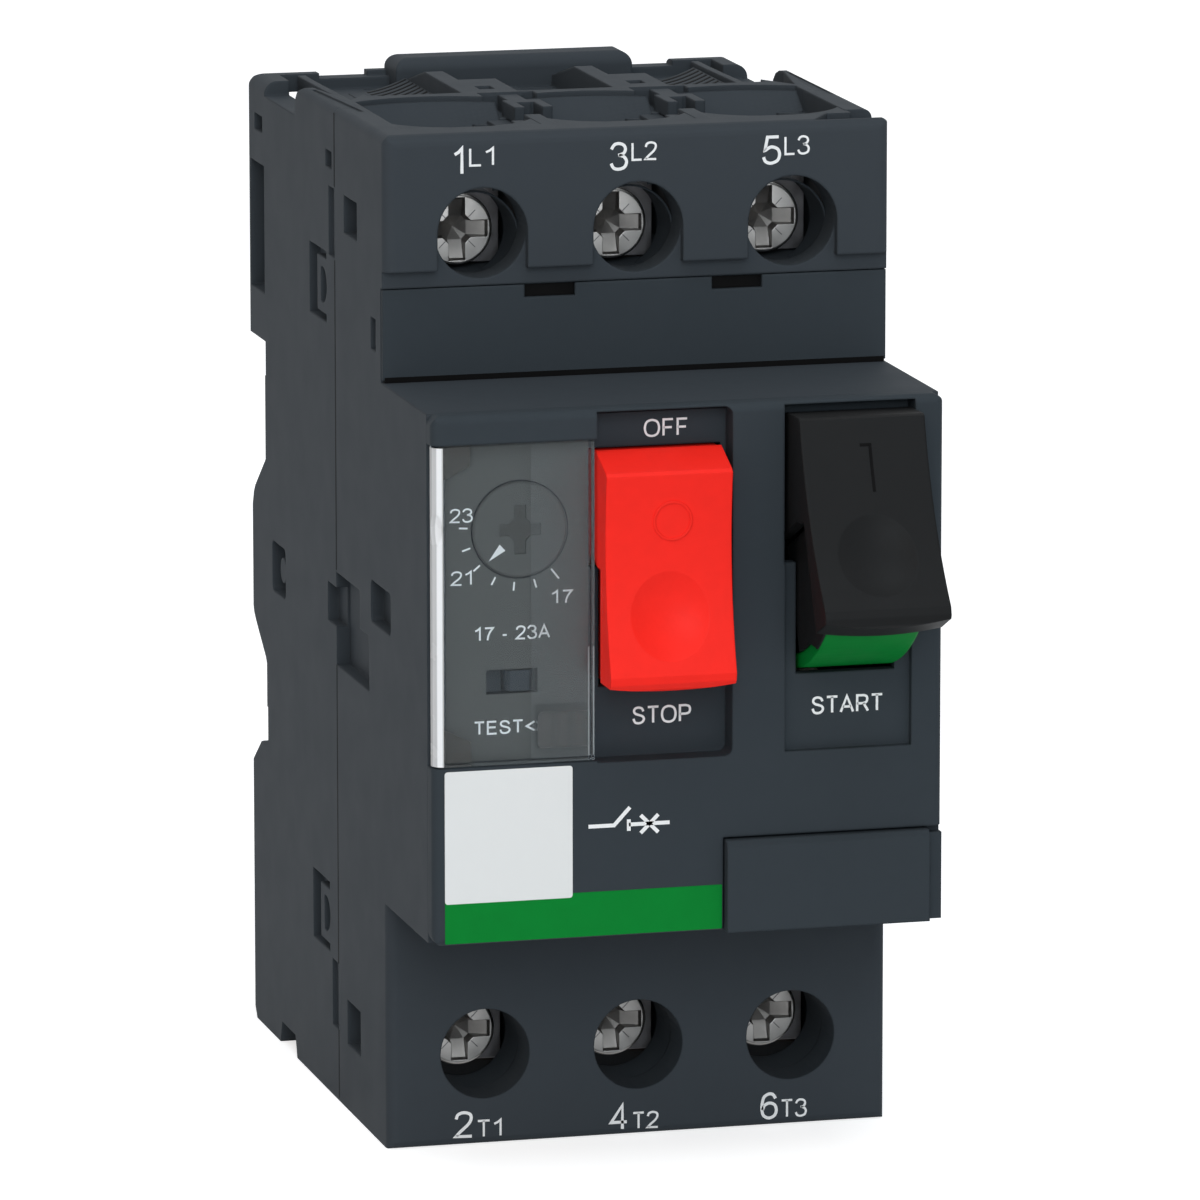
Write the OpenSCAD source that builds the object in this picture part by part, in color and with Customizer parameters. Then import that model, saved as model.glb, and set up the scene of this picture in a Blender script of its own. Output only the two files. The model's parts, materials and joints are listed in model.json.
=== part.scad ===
// Motor protection breaker, three poles, 35 mm rail mounting.
// Row frame: X to the right, front faces -Y, Z up, origin at the centre of the rail seat.

/* [Case] */
// overall width of the case
case_width = 45; // [44.6:0.1:45.4]
// top of the case above the rail centre
top_z = 43.6; // [43:0.1:44.2]
// bottom of the case below the rail centre
bottom_z = -45.4; // [-46:0.1:-45]
// depth from the rail seat to the joint between the two halves
split_depth = 27.9; // [27.5:0.1:28.3]
// depth from the rail seat to the front of the terminal blocks
block_depth = 46.5; // [46.2:0.1:46.9]
// depth from the rail seat to the rim of the nose
rim_depth = 61.5; // [61.2:0.1:61.8]
// depth from the rail seat to the front of the nose
nose_depth = 63.4; // [63.1:0.1:63.7]

/* [Poles] */
// distance between neighbouring poles
pole_pitch = 13.8; // [13.6:0.1:14]
// free width of one pole chamber
chamber_width = 12.4; // [12:0.1:12.6]
// radius of the screw access holes
access_radius = 4; // [3.8:0.1:4.1]
// radius of the terminal screw heads
screw_head_radius = 3.2; // [3:0.1:3.3]
// height of the line screws above the rail centre
line_screw_z = 33.9; // [33.6:0.1:34.2]
// height of the load screws below the rail centre
load_screw_z = -37.3; // [-37.6:0.1:-37]

/* [Rail] */
// half height of the rail channel at its upper edge
channel_top = 18.45; // [18.2:0.05:18.6]
// lower edge of the rail channel
channel_bottom = -18.65; // [-18.8:0.05:-18.4]
// free gap for the rail flange behind the seat
flange_gap = 1.2; // [1.1:0.05:1.4]

/* [Buttons] */
// how far the start rocker stands out at rest, in degrees
start_angle = 24.1; // [22:0.1:26]
// width of the rockers
rocker_width = 11.05; // [10.9:0.05:11.1]

/* [Hidden] */
half = case_width / 2;
split_y = -split_depth;
block_y = -block_depth;
rim_y = -rim_depth;
front_y = -nose_depth;
foot_y = 5.8;
nose_top = 22.1;
nose_bottom = -23.6;
poles = [-pole_pitch, 0, pole_pitch];
ch = chamber_width / 2;
part_x = pole_pitch / 2;
plate_y = -30.6;
plate_t = 1.6;
head_y = -37.2;
well_y = -35.2;
well_r = 7;
axle_y = -56.8;
axle_z = 19.4;
floor_y = -61;
dial_x = -14.3;
dial_z = 11.8;
window_z0 = -8;
window_z1 = 19.5;
window_x1 = -8.35;
hinge_x = -21.75;
hinge_y = -62.25;
stop_x0 = -8.08;
start_x0 = 8.72;
neck_in = 1;
neck_width = 8.52;
skirt_r = 21.29;
coil_z = -9;
strip_z = -22;
$fn = 64;

grey = [0.26, 0.27, 0.28];
slate = [0.21, 0.24, 0.27];
steel = [0.62, 0.63, 0.65];
copper = [0.78, 0.5, 0.32];
cream = [0.85, 0.82, 0.74];

// a box from one corner to the other
module box(x0, x1, y0, y1, z0, z1) {
  translate([x0, y0, z0]) cube([x1 - x0, y1 - y0, z1 - z0]);
}

// a (y, z) outline drawn out along X
module along_x(x0, x1) {
  translate([x0, 0, 0]) rotate([90, 0, 90]) linear_extrude(x1 - x0) children();
}

// an (x, z) outline drawn out along Y
module along_y(y0, y1) {
  translate([0, y1, 0]) rotate([90, 0, 0]) linear_extrude(y1 - y0) children();
}

// an (x, y) outline drawn out along Z
module along_z(z0, z1) {
  translate([0, 0, z0]) linear_extrude(z1 - z0) children();
}

module rod_x(x0, x1, y, z, r) {
  translate([x0, y, z]) rotate([0, 90, 0]) cylinder(h = x1 - x0, r = r);
}

module rod_y(y0, y1, x, z, r) {
  translate([x, y1, z]) rotate([90, 0, 0]) cylinder(h = y1 - y0, r = r);
}

module rod_z(z0, z1, x, y, r) {
  translate([x, y, z0]) cylinder(h = z1 - z0, r = r);
}

// a rectangle with rounded corners
module rounded(x0, x1, y0, y1, r) {
  translate([x0 + r, y0]) square([x1 - x0 - 2 * r, y1 - y0]);
  translate([x0, y0 + r]) square([x1 - x0, y1 - y0 - 2 * r]);
  for (x = [x0 + r, x1 - r], y = [y0 + r, y1 - r]) translate([x, y]) circle(r, $fn = 32);
}

module both_sides() {
  children();
  mirror([1, 0, 0]) children();
}

module each_pole() {
  for (x = poles) translate([x, 0, 0]) children();
}

// ---------- rear half of the case ----------

module rear_outline() {
  polygon([[split_y, top_z], [-16.2, top_z], [-15, 43.5], [-13.8, 43.1], [-13, 42.4],
    [-12.7, 41.5], [-12.7, 40.8], [-0.5, 40.8], [-0.5, 42.1], [4.8, 42.1], [5.5, 41.8],
    [foot_y, 41.2],
    [foot_y, channel_top], [-0.3, channel_top], [-0.3, 15.3], [0, 15.3], [0, 7.6],
    [4.3, 4.5], [4.9, 3.8], [5.4, 2.6], [5.4, -6.8], [5.1, -7.4], [4.4, -8],
    [0.4, -10.7], [0, -11.2], [0, -15.2], [-0.3, -15.2], [-0.3, -18.3], [1.4, channel_bottom],
    [2.4, -18.9],
    [foot_y, -21.2], [foot_y, -44.4], [5, bottom_z], [-4.6, bottom_z], [-5.4, -43.4],
    [-10.6, -43.4], [-11.3, bottom_z], [split_y, bottom_z]]);
}

// windows and marks in one side wall, left side
module rear_side_cuts() {
  x0 = -half - 1;
  x1 = -ch - pole_pitch - 0.1;
  skin = -half + 1;
  box(x0, skin, 0.4, 3.5, 37.3, 38.8);
  box(x0, skin, -26.9, -24.6, 38, 39.5);
  box(x0, -half + 0.4, -28.5, -25.7, 30.3, 36.4);
  box(x0, -half + 0.4, -28.5, -25.6, -38.9, -32.9);
  box(x0, -half + 1.6, -0.2, 5.3, 22.8, 34.4);
  for (z = [27.25, -29.35]) {
    box(x0, skin, -21.2, -18.2, z - 3.15, z + 3.15);
    for (s = [-1, 1]) box(x0, skin, -24.7, -21, z + 2.8 * s - 0.35, z + 2.8 * s + 0.35);
    intersection() {
      rod_x(x0, skin, -23.2, z, 1.6);
      box(x0, skin, -24.8, -22.6, z - 2, z + 2);
    }
  }
  difference() {
    along_x(x0, x1 - 0.8) rounded(-7.9, -2.6, -3.9, 0.7, 0.6);
    rod_x(-half + 0.3, x1, -5.7, -1.6, 1.15);
  }
  box(x0, skin, -28.5, -24.6, -2.5, 1);
}

// the wire deck on top of the rear half
module rear_deck_cuts() {
  box(-16.5, 16.5, -0.6, foot_y + 1, 41.6, 45);
  box(-18.1, 18.1, -22.1, 3.5, 40.6, 45);
  both_sides() {
    // slot beside the deck, open through the rear wall under the ear
    box(18, 20.2, -12.8, 3.5, 38.9, 45);
    box(17.6, 20.2, 3.4, foot_y + 1, 38.9, 40.5);
    along_z(41.6, 45) polygon([[18, -12], [18, -20.5], [20.2, -24.4], [21.4, -16.5], [21.4, -12]]);
    // rounded top edges of the ear and of the side wall
    difference() {
      box(21.3, 23, -1, foot_y + 1, 40.9, 45);
      rod_y(-2, foot_y + 2, 21.3, 40.9, 1.2);
    }
    side_edge(split_y - 1, -12);
  }
  each_pole() intersection() {
    union() {
      translate([0, well_y, 41.6]) cylinder(h = 5, r = 11.6);
      translate([0, well_y, 40.4]) cylinder(h = 5, r = 9.6);
      translate([0, well_y, 39]) cylinder(h = 5, r = 8.2);
    }
    box(-ch, ch, split_y - 1, -22.7, 30, 50);
  }
  for (x = [-part_x, part_x]) box(x - 1.5, x + 3.6, split_y - 1, -22.7, 42, 45);
}

// rounds the top edge of a side wall
module side_edge(y0, y1) {
  difference() {
    box(21.7, 23, y0, y1, top_z - 0.8, 45);
    rod_y(y0 - 1, y1 + 1, 21.7, top_z - 0.8, 0.8);
  }
}

// shallow strip sunk into the top of a side wall, over both halves
module side_strip() {
  along_z(top_z - 0.15, 45) polygon([[21.6, -16.9], [20.6, -31.2], [21.9, -31.2], [21.9, -16.9]]);
}

module deck_post() {
  box(-2.4, 2.7, -22.8, -12.7, 40, 43.4);
  along_x(-2.4, -0.7) polygon([[-12.8, 40], [-12.8, 43.4], [-7, 43.4], [3.2, 41], [3.2, 40]]);
  // neck with a fork that reaches over the front half
  box(0.4, 2.1, split_y, -22.7, 40, 43.4);
  box(-0.1, 3.3, -27.8, -26.3, 42, 43.4);
  for (x = [-0.1, 2.4]) box(x, x + 0.9, -30.9, -27.7, 42, 43.4);
}

module rear_chambers() {
  each_pole() {
    box(-ch, ch, split_y - 1, -1.8, -28.2, 28.6);
    box(-ch, ch, split_y - 1, 3.8, 30.4, 38.2);
    box(-ch, ch, split_y - 1, -0.6, -41.8, -30.8);
    box(-ch, ch, -2, 3.8, 20.4, 28.6);
    box(-ch, ch, -2, 3.8, -5.8, 2.6);
  }
  box(-part_x - 0.8, part_x + 0.8, split_y - 1, -19.2, 3.4, 9.6);
}

module clip_pocket() {
  box(-9.4, 9.4, 1, 4.1, -26.6, -15);
  box(-7.6, 7.6, 4, foot_y + 1, -26.6, -15);
  box(-4, 4, 1, 4.1, -50, -26.5);
  box(-4, 4, 4, foot_y + 1, -50, -26.5);
}

module screw_bores(r) {
  for (x = [-part_x, part_x], z = [29.5, -29.5]) rod_y(-42.5, foot_y + 1, x, z, r);
}

module screw_bosses(y0, y1) {
  for (x = [-part_x, part_x], z = [29.5, -29.5]) rod_y(y0, y1, x, z, 2);
}

module rear_housing() {
  color(grey) difference() {
    union() {
      difference() {
        along_x(-half, half) rear_outline();
        rear_chambers();
        rear_deck_cuts();
        clip_pocket();
      }
      for (x = [-part_x, part_x]) translate([x, 0, 0]) deck_post();
      intersection() {
        along_x(-10, 12) rounded(0.8, 5.4, 39, 43.5, 1.2);
        along_y(0, 6) rounded(-10, 12, 38, 43.5, 1.2);
      }
      box(-11.8, -9.5, 4.6, foot_y, 41, 42.05);
      // low wall along each side of the deck
      both_sides() along_x(18, 18.7) polygon([[-22.1, 40], [-22.1, 43.2], [-19, 42.7],
        [-15.2, 42.3], [-1.2, 42.1], [2.5, 42.1], [2.5, 38], [-12.9, 38], [-12.9, 40]]);
      screw_bosses(split_y, -1);
      // peg that holds the end of the clip spring
      box(-1.7, 1.7, 0.9, 3.4, -36, -34.1);
      // fixed hook lips over the upper rail flange
      both_sides() along_x(6, 19) polygon([[flange_gap, 20], [flange_gap, 16.4], [1.7, 15.9],
        [3.4, 16.9], [4.4, 18.2], [4.4, 20]]);
    }
    screw_bores(1.15);
    for (x = [-part_x, part_x], z = [29.5, -29.5]) rod_y(3.2, foot_y + 1, x, z, 2.2);
    both_sides() rear_side_cuts();
    for (x = [-part_x, part_x]) box(x - 0.3, x + 1.1, -19, -17.1, 42.2, 45);
    // louvres of the vents
    for (x = [-12.6, 1.2, 9.2], i = [0:7]) box(x, x + 3.2, 2.4 - 1.05 * i, 2.85 - 1.05 * i, 40, 41);
    both_sides() side_strip();
  }
}

// ---------- front half of the case ----------

module front_outline() {
  polygon([[split_y, top_z], [block_y + 1, top_z], [block_y + 0.6, top_z - 0.09],
    [block_y + 0.27, top_z - 0.3], [block_y + 0.06, top_z - 0.65], [block_y, top_z - 1],
    [block_y, 31.8], [block_y + 0.9, 31.8], [block_y + 0.9, 30.3],
    [-45.05, 30.3], [-45.05, nose_top], [rim_y, nose_top], [rim_y, nose_bottom],
    [block_y, nose_bottom], [block_y, bottom_z + 0.6], [block_y + 0.2, bottom_z + 0.2],
    [block_y + 0.6, bottom_z], [split_y, bottom_z]]);
}

module front_side_cuts() {
  x0 = -half - 1;
  skin = -half + 1.2;
  box(x0, skin, -36.4, -31.5, 33.1, 36.4);
  box(x0, skin, -36.3, -31.3, -39.4, -35.4);
  box(x0, -half + 0.6, -43.2, -41.4, 24.5, 27.3);
  box(x0, skin, -36.8, -27, -2.1, 2.4);
  box(x0, skin, -40.2, -27, -5.9, -2);
  box(x0, -half + 1.5, -40, -36, -5.4, -1);
  along_x(x0, skin) rounded(-48.3, -41, 0.5, 4.2, 0.5);
}

module front_chambers() {
  each_pole() {
    // line terminal chamber with its wire well
    box(-ch, ch, -42.4, split_y + 1, 30.4, 38.2);
    intersection() {
      union() {
        translate([0, well_y, 30]) cylinder(h = 20, r = well_r);
        translate([0, well_y, 39]) cylinder(h = 5, r = 8.2);
        translate([0, well_y, 41.6]) cylinder(h = 5, r = 9.6);
      }
      box(-ch, ch, -42.4, split_y + 1, 30.4, 50);
    }
    // contact chamber
    box(-ch, ch, -44.8, split_y + 1, -28.2, 20.6);
    box(-ch, ch, -32.6, split_y + 1, 20, 28.6);
    // load terminal chamber with its wire entry
    box(-ch, ch, -42.4, split_y + 1, -42, -30.8);
    intersection() {
      translate([0, well_y, -50]) cylinder(h = 20, r = well_r);
      box(-ch, ch, -42.4, split_y + 1, -50, -31);
    }
    // screw access holes
    rod_y(block_y - 1, -42, 0, line_screw_z + 1, access_radius);
    rod_y(block_y - 1, -42, 0, load_screw_z, access_radius);
    box(-4, 4, block_y - 1, block_y + 0.9, 31, line_screw_z + 1);
    // conductor slots in the chamber floors
    box(-3.5, 3.5, -31, split_y + 1, 28, 31);
    box(-3.5, 3.5, -31, split_y + 1, -31, -28);
    rod_y(-47, -44, 0, coil_z, 1.6);
  }
  box(-half + 2.5, half - 2.5, -46, -34, 23.6, 28.8);
  box(-half + 1.6, half - 1.6, rim_y - 1, -46.3, -22, 21.3);
  box(-9.4, 4.7, rim_y - 1, -59.6, 19, 21.65);
  box(7.9, 20.4, rim_y - 1, -59.6, 19, 21.65);
  for (s = [-1, 1]) box(s * part_x - 1, s * part_x + 1, -47, split_y + 1, 3.6, 9.4);
  for (s = [-1, 1]) box(s * part_x - 1, s * part_x + 1, -34.4, split_y + 1, -25, -19);
  box(10.4, 15.9, -47, -44, -21.9, -19.4);
}

module front_housing() {
  color(grey) difference() {
    union() {
      difference() {
        along_x(-half, half) front_outline();
        front_chambers();
      }
      screw_bosses(-41, split_y);
      // saddle and cusp between neighbouring wells
      for (x = [-part_x, part_x]) translate([x, 0, 0]) {
        box(-1.85, 1.85, -36.6, split_y, 38, 41.9);
        along_z(38, 43.1) polygon([[-5.1, -42.6], [-2.7, -39.6], [-1.85, -39.5], [-1.85, -36.5],
          [1.85, -36.5], [1.85, -39.5], [2.7, -39.6], [5.1, -42.6]]);
      }
      // boss of the trip lever
      rod_y(-50.8, -46, 13.5, -5.2, 2);
    }
    for (x = [-part_x, part_x]) box(x - 1.5, x + 3.6, -36.5, split_y + 1, 41.9, 45);
    // slot across the right end of the top
    along_z(42.2, 45) polygon([[16, -45.7], [18.8, -41], [23, -40.8], [23, -45.7]]);
    both_sides() {
      side_strip();
      side_edge(block_y - 1, split_y + 1);
      for (z = [[31.8, 45], [-46, nose_bottom]]) difference() {
        box(half - 1, half + 1, block_y - 1, block_y + 1, z[0], z[1]);
        rod_z(z[0] - 1, z[1] + 1, half - 1, block_y + 1, 1);
      }
    }
    rod_y(-51, -47, 13.5, -5.2, 0.8);
    difference() {
      screw_bores(0.95);
      rod_y(-50, -39, -part_x, 0, 40);
    }
    both_sides() front_side_cuts();
    // cover seats in the front of the nose
    box(-half - 1, -half + 1.8, rim_y - 1, rim_y, -30, 30);
  }
}

// ---------- covers on the front ----------

module cover_blank() {
  intersection() {
    along_x(-half, half) rounded(front_y, rim_y + 3, nose_bottom, nose_top + 0.1, 0.8);
    along_z(-30, 30) rounded(-half, half, front_y, rim_y + 3, 0.8);
    along_y(front_y, rim_y) rounded(-half, half, nose_bottom, nose_top + 0.1, 1);
  }
}

// recess with a floor that ramps up under the top edge
module button_recess(x0, x1, z0, z1) {
  along_x(x0, x1) polygon([[front_y - 1, z0], [floor_y, z0], [floor_y, 21.4], [-61.75, 21.7],
    [-61.75, z1], [front_y - 1, z1]]);
}

module front_cover() {
  color(slate) difference() {
    union() {
      cover_blank();
      // floor plate and plug behind the rim
      box(-20.7, 5, rim_y, floor_y + 1.2, -9.5, 21.1);
      difference() {
        box(-20.7, 20.7, rim_y, -59.6, -21.8, 21.1);
        box(-19.5, 19.5, rim_y - 1, -59, -20.6, 19.9);
      }
      box(-9.2, 4.5, rim_y, floor_y + 1.2, 19, 21.5);
      box(8.1, 20.2, rim_y, floor_y + 1.2, 19, 21.5);
      // ribs that carry the button axle
      for (x = [-9.3, 3.4, 7.4, 20]) box(x, x + 0.8, rim_y, -55.2, 17.2, 21.1);
    }
    // one recess for the dial window and the stop rocker
    box(-half - 1, -8, front_y - 1, floor_y, window_z0 - 0.15, window_z1 + 0.15);
    intersection() {
      button_recess(-8.1, 3.8, -8.3, 21.95);
      along_y(-70, -50) rounded(-12, 3.8, -8.3, 21.95, 0.7);
    }
    // stop opening
    box(-8.4, 3.35, front_y - 1, -50, 8.2, 18.5);
    box(-7.4, 1.75, front_y - 1, -50, -2.2, 8.3);
    // start opening, with a sunken plate around its lower half
    button_recess(8.36, 19.94, 8.1, 21.87);
    box(8.36, 19.94, front_y - 1, -50, 8.1, 20.75);
    box(8.47, 19.7, front_y - 1, -62.7, -8.2, 8.2);
    box(9.58, 18.37, front_y - 1, -50, -1.6, 8.2);
    // marker seat
    box(3, half + 1, front_y - 1, -62.4, nose_bottom - 1, -15.4);
    // dial bore and test slot
    rod_y(front_y - 1, -55, dial_x, dial_z, 4.3);
    box(-17.3, -12.7, front_y - 1, -55, -2.4, -0.2);
    // bores of the window pins and of the axle
    rod_z(-9.4, 20.8, hinge_x, hinge_y, 0.55);
    rod_x(-9.6, 20.95, axle_y, axle_z, 0.93);
  }
}

module aux_contact_cover() {
  color(slate) difference() {
    union() {
      box(-half + 0.05, half - 0.05, -45.6, -45.1, nose_top + 0.25, 30.2);
      box(-half + 2.7, half - 2.7, -45.1, -43.6, 23.8, 28.6);
      // snap legs
      for (x = [-17, 14]) box(x, x + 3, -43.6, -38, 23.8, 25);
    }
    for (x = [-9.9, 6.8]) box(x, x + 4.5, -47, -44.6, 29.1, 31);
  }
}

module marker_plate() {
  color(slate) difference() {
    union() {
      box(3.15, 21.2, -64.3, -62.4, nose_bottom, -15.6);
      box(21, half, -63.3, -62.4, nose_bottom, -16);
    }
    along_x(0, 25) polygon([[-65, -16.1], [-64.3, -16.1], [-63.8, -15.5], [-63.8, -15],
      [-65, -15]]);
  }
}

module dial_window() {
  color([0.8, 0.85, 0.88, 0.4]) difference() {
    union() {
      intersection() {
        box(-22.4, window_x1, front_y, -62.2, window_z0, window_z1);
        along_z(-20, 30) rounded(-22.4, window_x1 + 5, front_y, -50, 1);
      }
      rod_z(window_z0, window_z1, hinge_x, hinge_y, 0.65);
      rod_z(window_z0 - 0.9, window_z1 + 0.9, hinge_x, hinge_y, 0.5);
      // corner gussets and the latch block
      for (z = [window_z1 - 1, window_z0]) along_z(z, z + 1) polygon([[-20.8, -62.3],
        [-17.5, -62.3], [-20.2, -61.3], [-20.8, -61.3]]);
      box(-13, window_x1 - 0.4, -62.3, -61.25, -7, -3.4);
    }
    for (x = [-11.9, -10.4]) box(x, x + 0.6, -62.2, -61, -7.2, -4);
    // thumb scoop in the hinge-side edge
    translate([-24.2, -64.6, 12.5]) sphere(2.9);
  }
}

module setting_dial() {
  color([0.3, 0.33, 0.35]) difference() {
    union() {
      rod_y(floor_y, -59.5, dial_x, dial_z, 4.2);
      rod_y(-59.6, -58.6, dial_x, dial_z, 5.3);
      rod_y(-58.7, -52, dial_x, dial_z, 1.8);
      intersection() {
        rod_y(-54, -52, dial_x, dial_z, 4);
        rod_y(-54, -52, dial_x + 1.4, dial_z, 4);
      }
    }
    box(dial_x - 2.2, dial_x + 2.2, floor_y - 1, -60, dial_z - 0.5, dial_z + 0.5);
    box(dial_x - 0.5, dial_x + 0.5, floor_y - 1, -60, dial_z - 2.2, dial_z + 2.2);
    translate([dial_x, 0, dial_z]) rotate([0, -41.5, 0]) along_y(floor_y - 1, floor_y + 0.15)
      polygon([[-3.8, 0], [-2, 0.4], [-2, -0.4]]);
  }
}

module test_slider() {
  color([0.2, 0.23, 0.26]) {
    box(-18.2, -12.2, -59.6, -58.4, -4, 1.4);
    intersection() {
      box(-15.6, -13, -60.95, -59.5, -2.2, -0.4);
      rod_z(-3, 1, -14.3, -59.9, 1.35);
    }
    box(-15.2, -13.4, -58.5, -53, -2.4, -0.6);
  }
}

// ---------- rockers ----------

// shell in its pressed pose, outline in (y, z)
module rocker_profile() {
  difference() {
    polygon([[-64.3, -1.75], [-64.3, 8.6], [-63.4, 8.6], [-62.4, 9.1], [-56, 9.1],
      [-56, 18.3], [-61.9, 18.3],
      [-62.7, 18.57], [-66.15, 17.15], [-66.42, 16.85], [-70, 16.85], [-70, -0.2],
      [-67.83, -0.2], [-67.72, -0.85], [-67.3, -1.4], [-66.7, -1.75]]);
    translate([-103, 11.3]) circle(37, $fn = 180);
  }
}

module about_axle(r) {
  translate([axle_y, axle_z]) circle(r, $fn = 160);
}

// narrower neck that passes through the cover
module neck_profile(r) {
  intersection() {
    translate([-64.4, -3]) square([9.4, 11.7]);
    about_axle(r);
  }
}

module rocker_hollows(x0) {
  n0 = x0 + neck_in;
  along_x(x0 + 1.1, x0 + rocker_width - 1.1) polygon([[-55, 17.1], [-61.9, 17.1], [-65.1, 15.9],
    [-64.9, 11], [-65, 8.5], [-55, 8.5]]);
  along_x(n0 + 1.1, n0 + neck_width - 1.1) intersection() {
    polygon([[-64.9, 8.7], [-65.4, 4], [-66.1, 0.9], [-65.2, 0.2], [-54, 0.2], [-54, 8.7]]);
    about_axle(20.06);
  }
}

// face with the bowed bottom edge
module rocker_shell(x0) {
  intersection() {
    along_y(-70, -50) union() {
      translate([x0, -1.15]) square([rocker_width, 31]);
      translate([x0 + rocker_width / 2, 32.4]) circle(34, $fn = 160);
    }
    along_x(x0, x0 + rocker_width) rocker_profile();
  }
}

// two ears on the axle
module hub(x0) {
  for (x = [x0, x0 + rocker_width - 1.6]) {
    rod_x(x, x + 1.6, axle_y, axle_z, 1.35);
    box(x, x + 1.6, axle_y - 1.3, axle_y + 0.8, 17.4, axle_z);
  }
}

module stop_button() {
  x0 = stop_x0;
  n0 = stop_x0 + neck_in;
  color([0.92, 0.12, 0.08]) difference() {
    union() {
      rocker_shell(x0);
      along_x(n0, n0 + neck_width) neck_profile(skirt_r);
      hub(x0);
    }
    rocker_hollows(x0);
    rod_x(x0 - 1, x0 + rocker_width + 1, axle_y, axle_z, 0.98);
    translate([x0 + rocker_width / 2, -73.69, 6]) sphere(8);
  }
}

module at_start() {
  translate([0, axle_y, axle_z]) rotate([-start_angle, 0, 0]) translate([0, -axle_y, -axle_z])
    children();
}

module start_cap() {
  x0 = start_x0;
  n0 = start_x0 + neck_in;
  color([0.1, 0.11, 0.12]) at_start() difference() {
    union() {
      rocker_shell(x0);
      along_x(n0, n0 + neck_width) neck_profile(20.06);
      // thin cheek beside the skirt
      along_x(n0, n0 + 0.22) intersection() {
        polygon([[-64.4, 2], [-64.4, -3], [-60.3, -3], [-60.3, -1.5], [-58.5, -0.7], [-58.5, 2]]);
        about_axle(skirt_r);
      }
      hub(x0);
    }
    rocker_hollows(x0);
    // room for the skirt
    along_x(n0 + 0.22, n0 + neck_width + 1) intersection() {
      translate([-64.3, -3]) square([14, 5]);
      difference() {
        about_axle(skirt_r + 0.03);
        about_axle(20.06);
      }
    }
    rod_x(x0 - 1, x0 + rocker_width + 1, axle_y, axle_z, 0.98);
    translate([x0 + rocker_width / 2, -73.69, 6]) sphere(8);
  }
}

module start_button() {
  x0 = start_x0;
  n0 = start_x0 + neck_in;
  color([0, 0.5, 0.16]) at_start() {
    along_x(n0 + 0.24, n0 + neck_width - 0.02) intersection() {
      translate([-64.25, -3]) square([13.75, 5]);
      difference() {
        about_axle(skirt_r);
        about_axle(20.09);
      }
    }
    // web up into the cap
    along_x(x0 + 4.4, x0 + 6.6) intersection() {
      translate([-64.2, -1]) square([1.5, 11]);
      about_axle(20.9);
    }
  }
}

module button_axle() {
  color(steel) rod_x(-9.2, 20.7, axle_y, axle_z, 0.9);
}

// ---------- rail clip ----------

module din_clip() {
  color([0.2, 0.21, 0.22]) difference() {
    union() {
      along_x(-9.1, 9.1) polygon([[1.3, -23.2], [1.3, -16.1], [1.7, -15.8], [3.8, -17.6],
        [3.8, -23.2]]);
      box(-7.3, 7.3, 3.7, 5.4, -23.2, -21);
      box(-3.7, 3.7, 1.3, 5.4, -41.5, -23.1);
    }
    box(-2.4, 2.4, 0, 7, -36.6, -24);
    box(-2.4, 2.4, 3, 7, -40.5, -37.5);
  }
}

// spring of level coils joined by short risers
module coil_spring(length, r, wire, turns) {
  pitch = (length - 2 * wire) / turns;
  for (k = [0:turns]) translate([0, 0, wire + k * pitch]) rotate_extrude($fn = 32)
    translate([r, 0]) circle(wire, $fn = 12);
  for (k = [0:turns - 1]) rotate([0, 0, 140 * k]) translate([r, 0, wire + k * pitch])
    cylinder(h = pitch, r = wire, $fn = 12);
}

module clip_spring() {
  color(steel) translate([0, 2.55, -34]) coil_spring(9.8, 0.9, 0.3, 7);
}

// ---------- fasteners and mechanism ----------

module housing_screws() {
  color(steel) for (x = [-part_x, part_x], z = [29.5, -29.5]) difference() {
    union() {
      rod_y(3.2, 5, x, z, 2);
      rod_y(-38.5, 3.3, x, z, 0.94);
    }
    rod_y(4, 6, x, z, 0.9, $fn = 6);
  }
}

module mechanism_frame() {
  color(steel) {
    for (x = [-9, 8]) along_x(x, x + 1) rounded(-52.2, -46.3, -14, 16, 1.2);
    for (z = [13.5, -11.5]) rod_x(-9, 9, -50.6, z, 1.1);
  }
}

module drive_yoke() {
  color(steel) {
    box(-7.6, 7.6, -48.6, -47.4, 4.2, 8.8);
    rod_x(-5, 5, -48.9, 6.5, 1);
  }
}

module contact_carrier() {
  color([0.35, 0.2, 0.14]) difference() {
    union() {
      for (s = [-1, 1]) box(s * part_x - 0.65, s * part_x + 0.65, -47.4, -19.6, 4.2, 8.8);
      box(-19, 19, -22.6, -19.6, 4.2, 8.8);
      each_pole() for (s = [-1, 1]) box(s * 3.6 - 0.7, s * 3.6 + 0.7, -26, -22.5, 4.2, 8.8);
    }
  }
}

module contact_springs() {
  color(steel) each_pole() translate([0, -22.7, 6.5]) rotate([90, 0, 0]) coil_spring(1.45, 1.6, 0.2, 2);
}

module contact_bridge(i) {
  color(copper) translate([poles[i], 0, 0]) {
    box(-2.6, 2.6, -25.3, -24.2, -1.4, 14.6);
    for (z = [0.6, 12.6]) rod_y(-26.05, -25.2, 0, z, 1.7);
  }
}

module trip_slide() {
  color(cream) difference() {
    union() {
      box(-19.4, 18.2, -33.8, -31.4, -24, -20);
      box(12.75, 14.25, -53.6, -33.7, -21.6, -20.2);
    }
    each_pole() box(-2.2, 0.7, -33, -31, -25, -19);
  }
}

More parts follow.
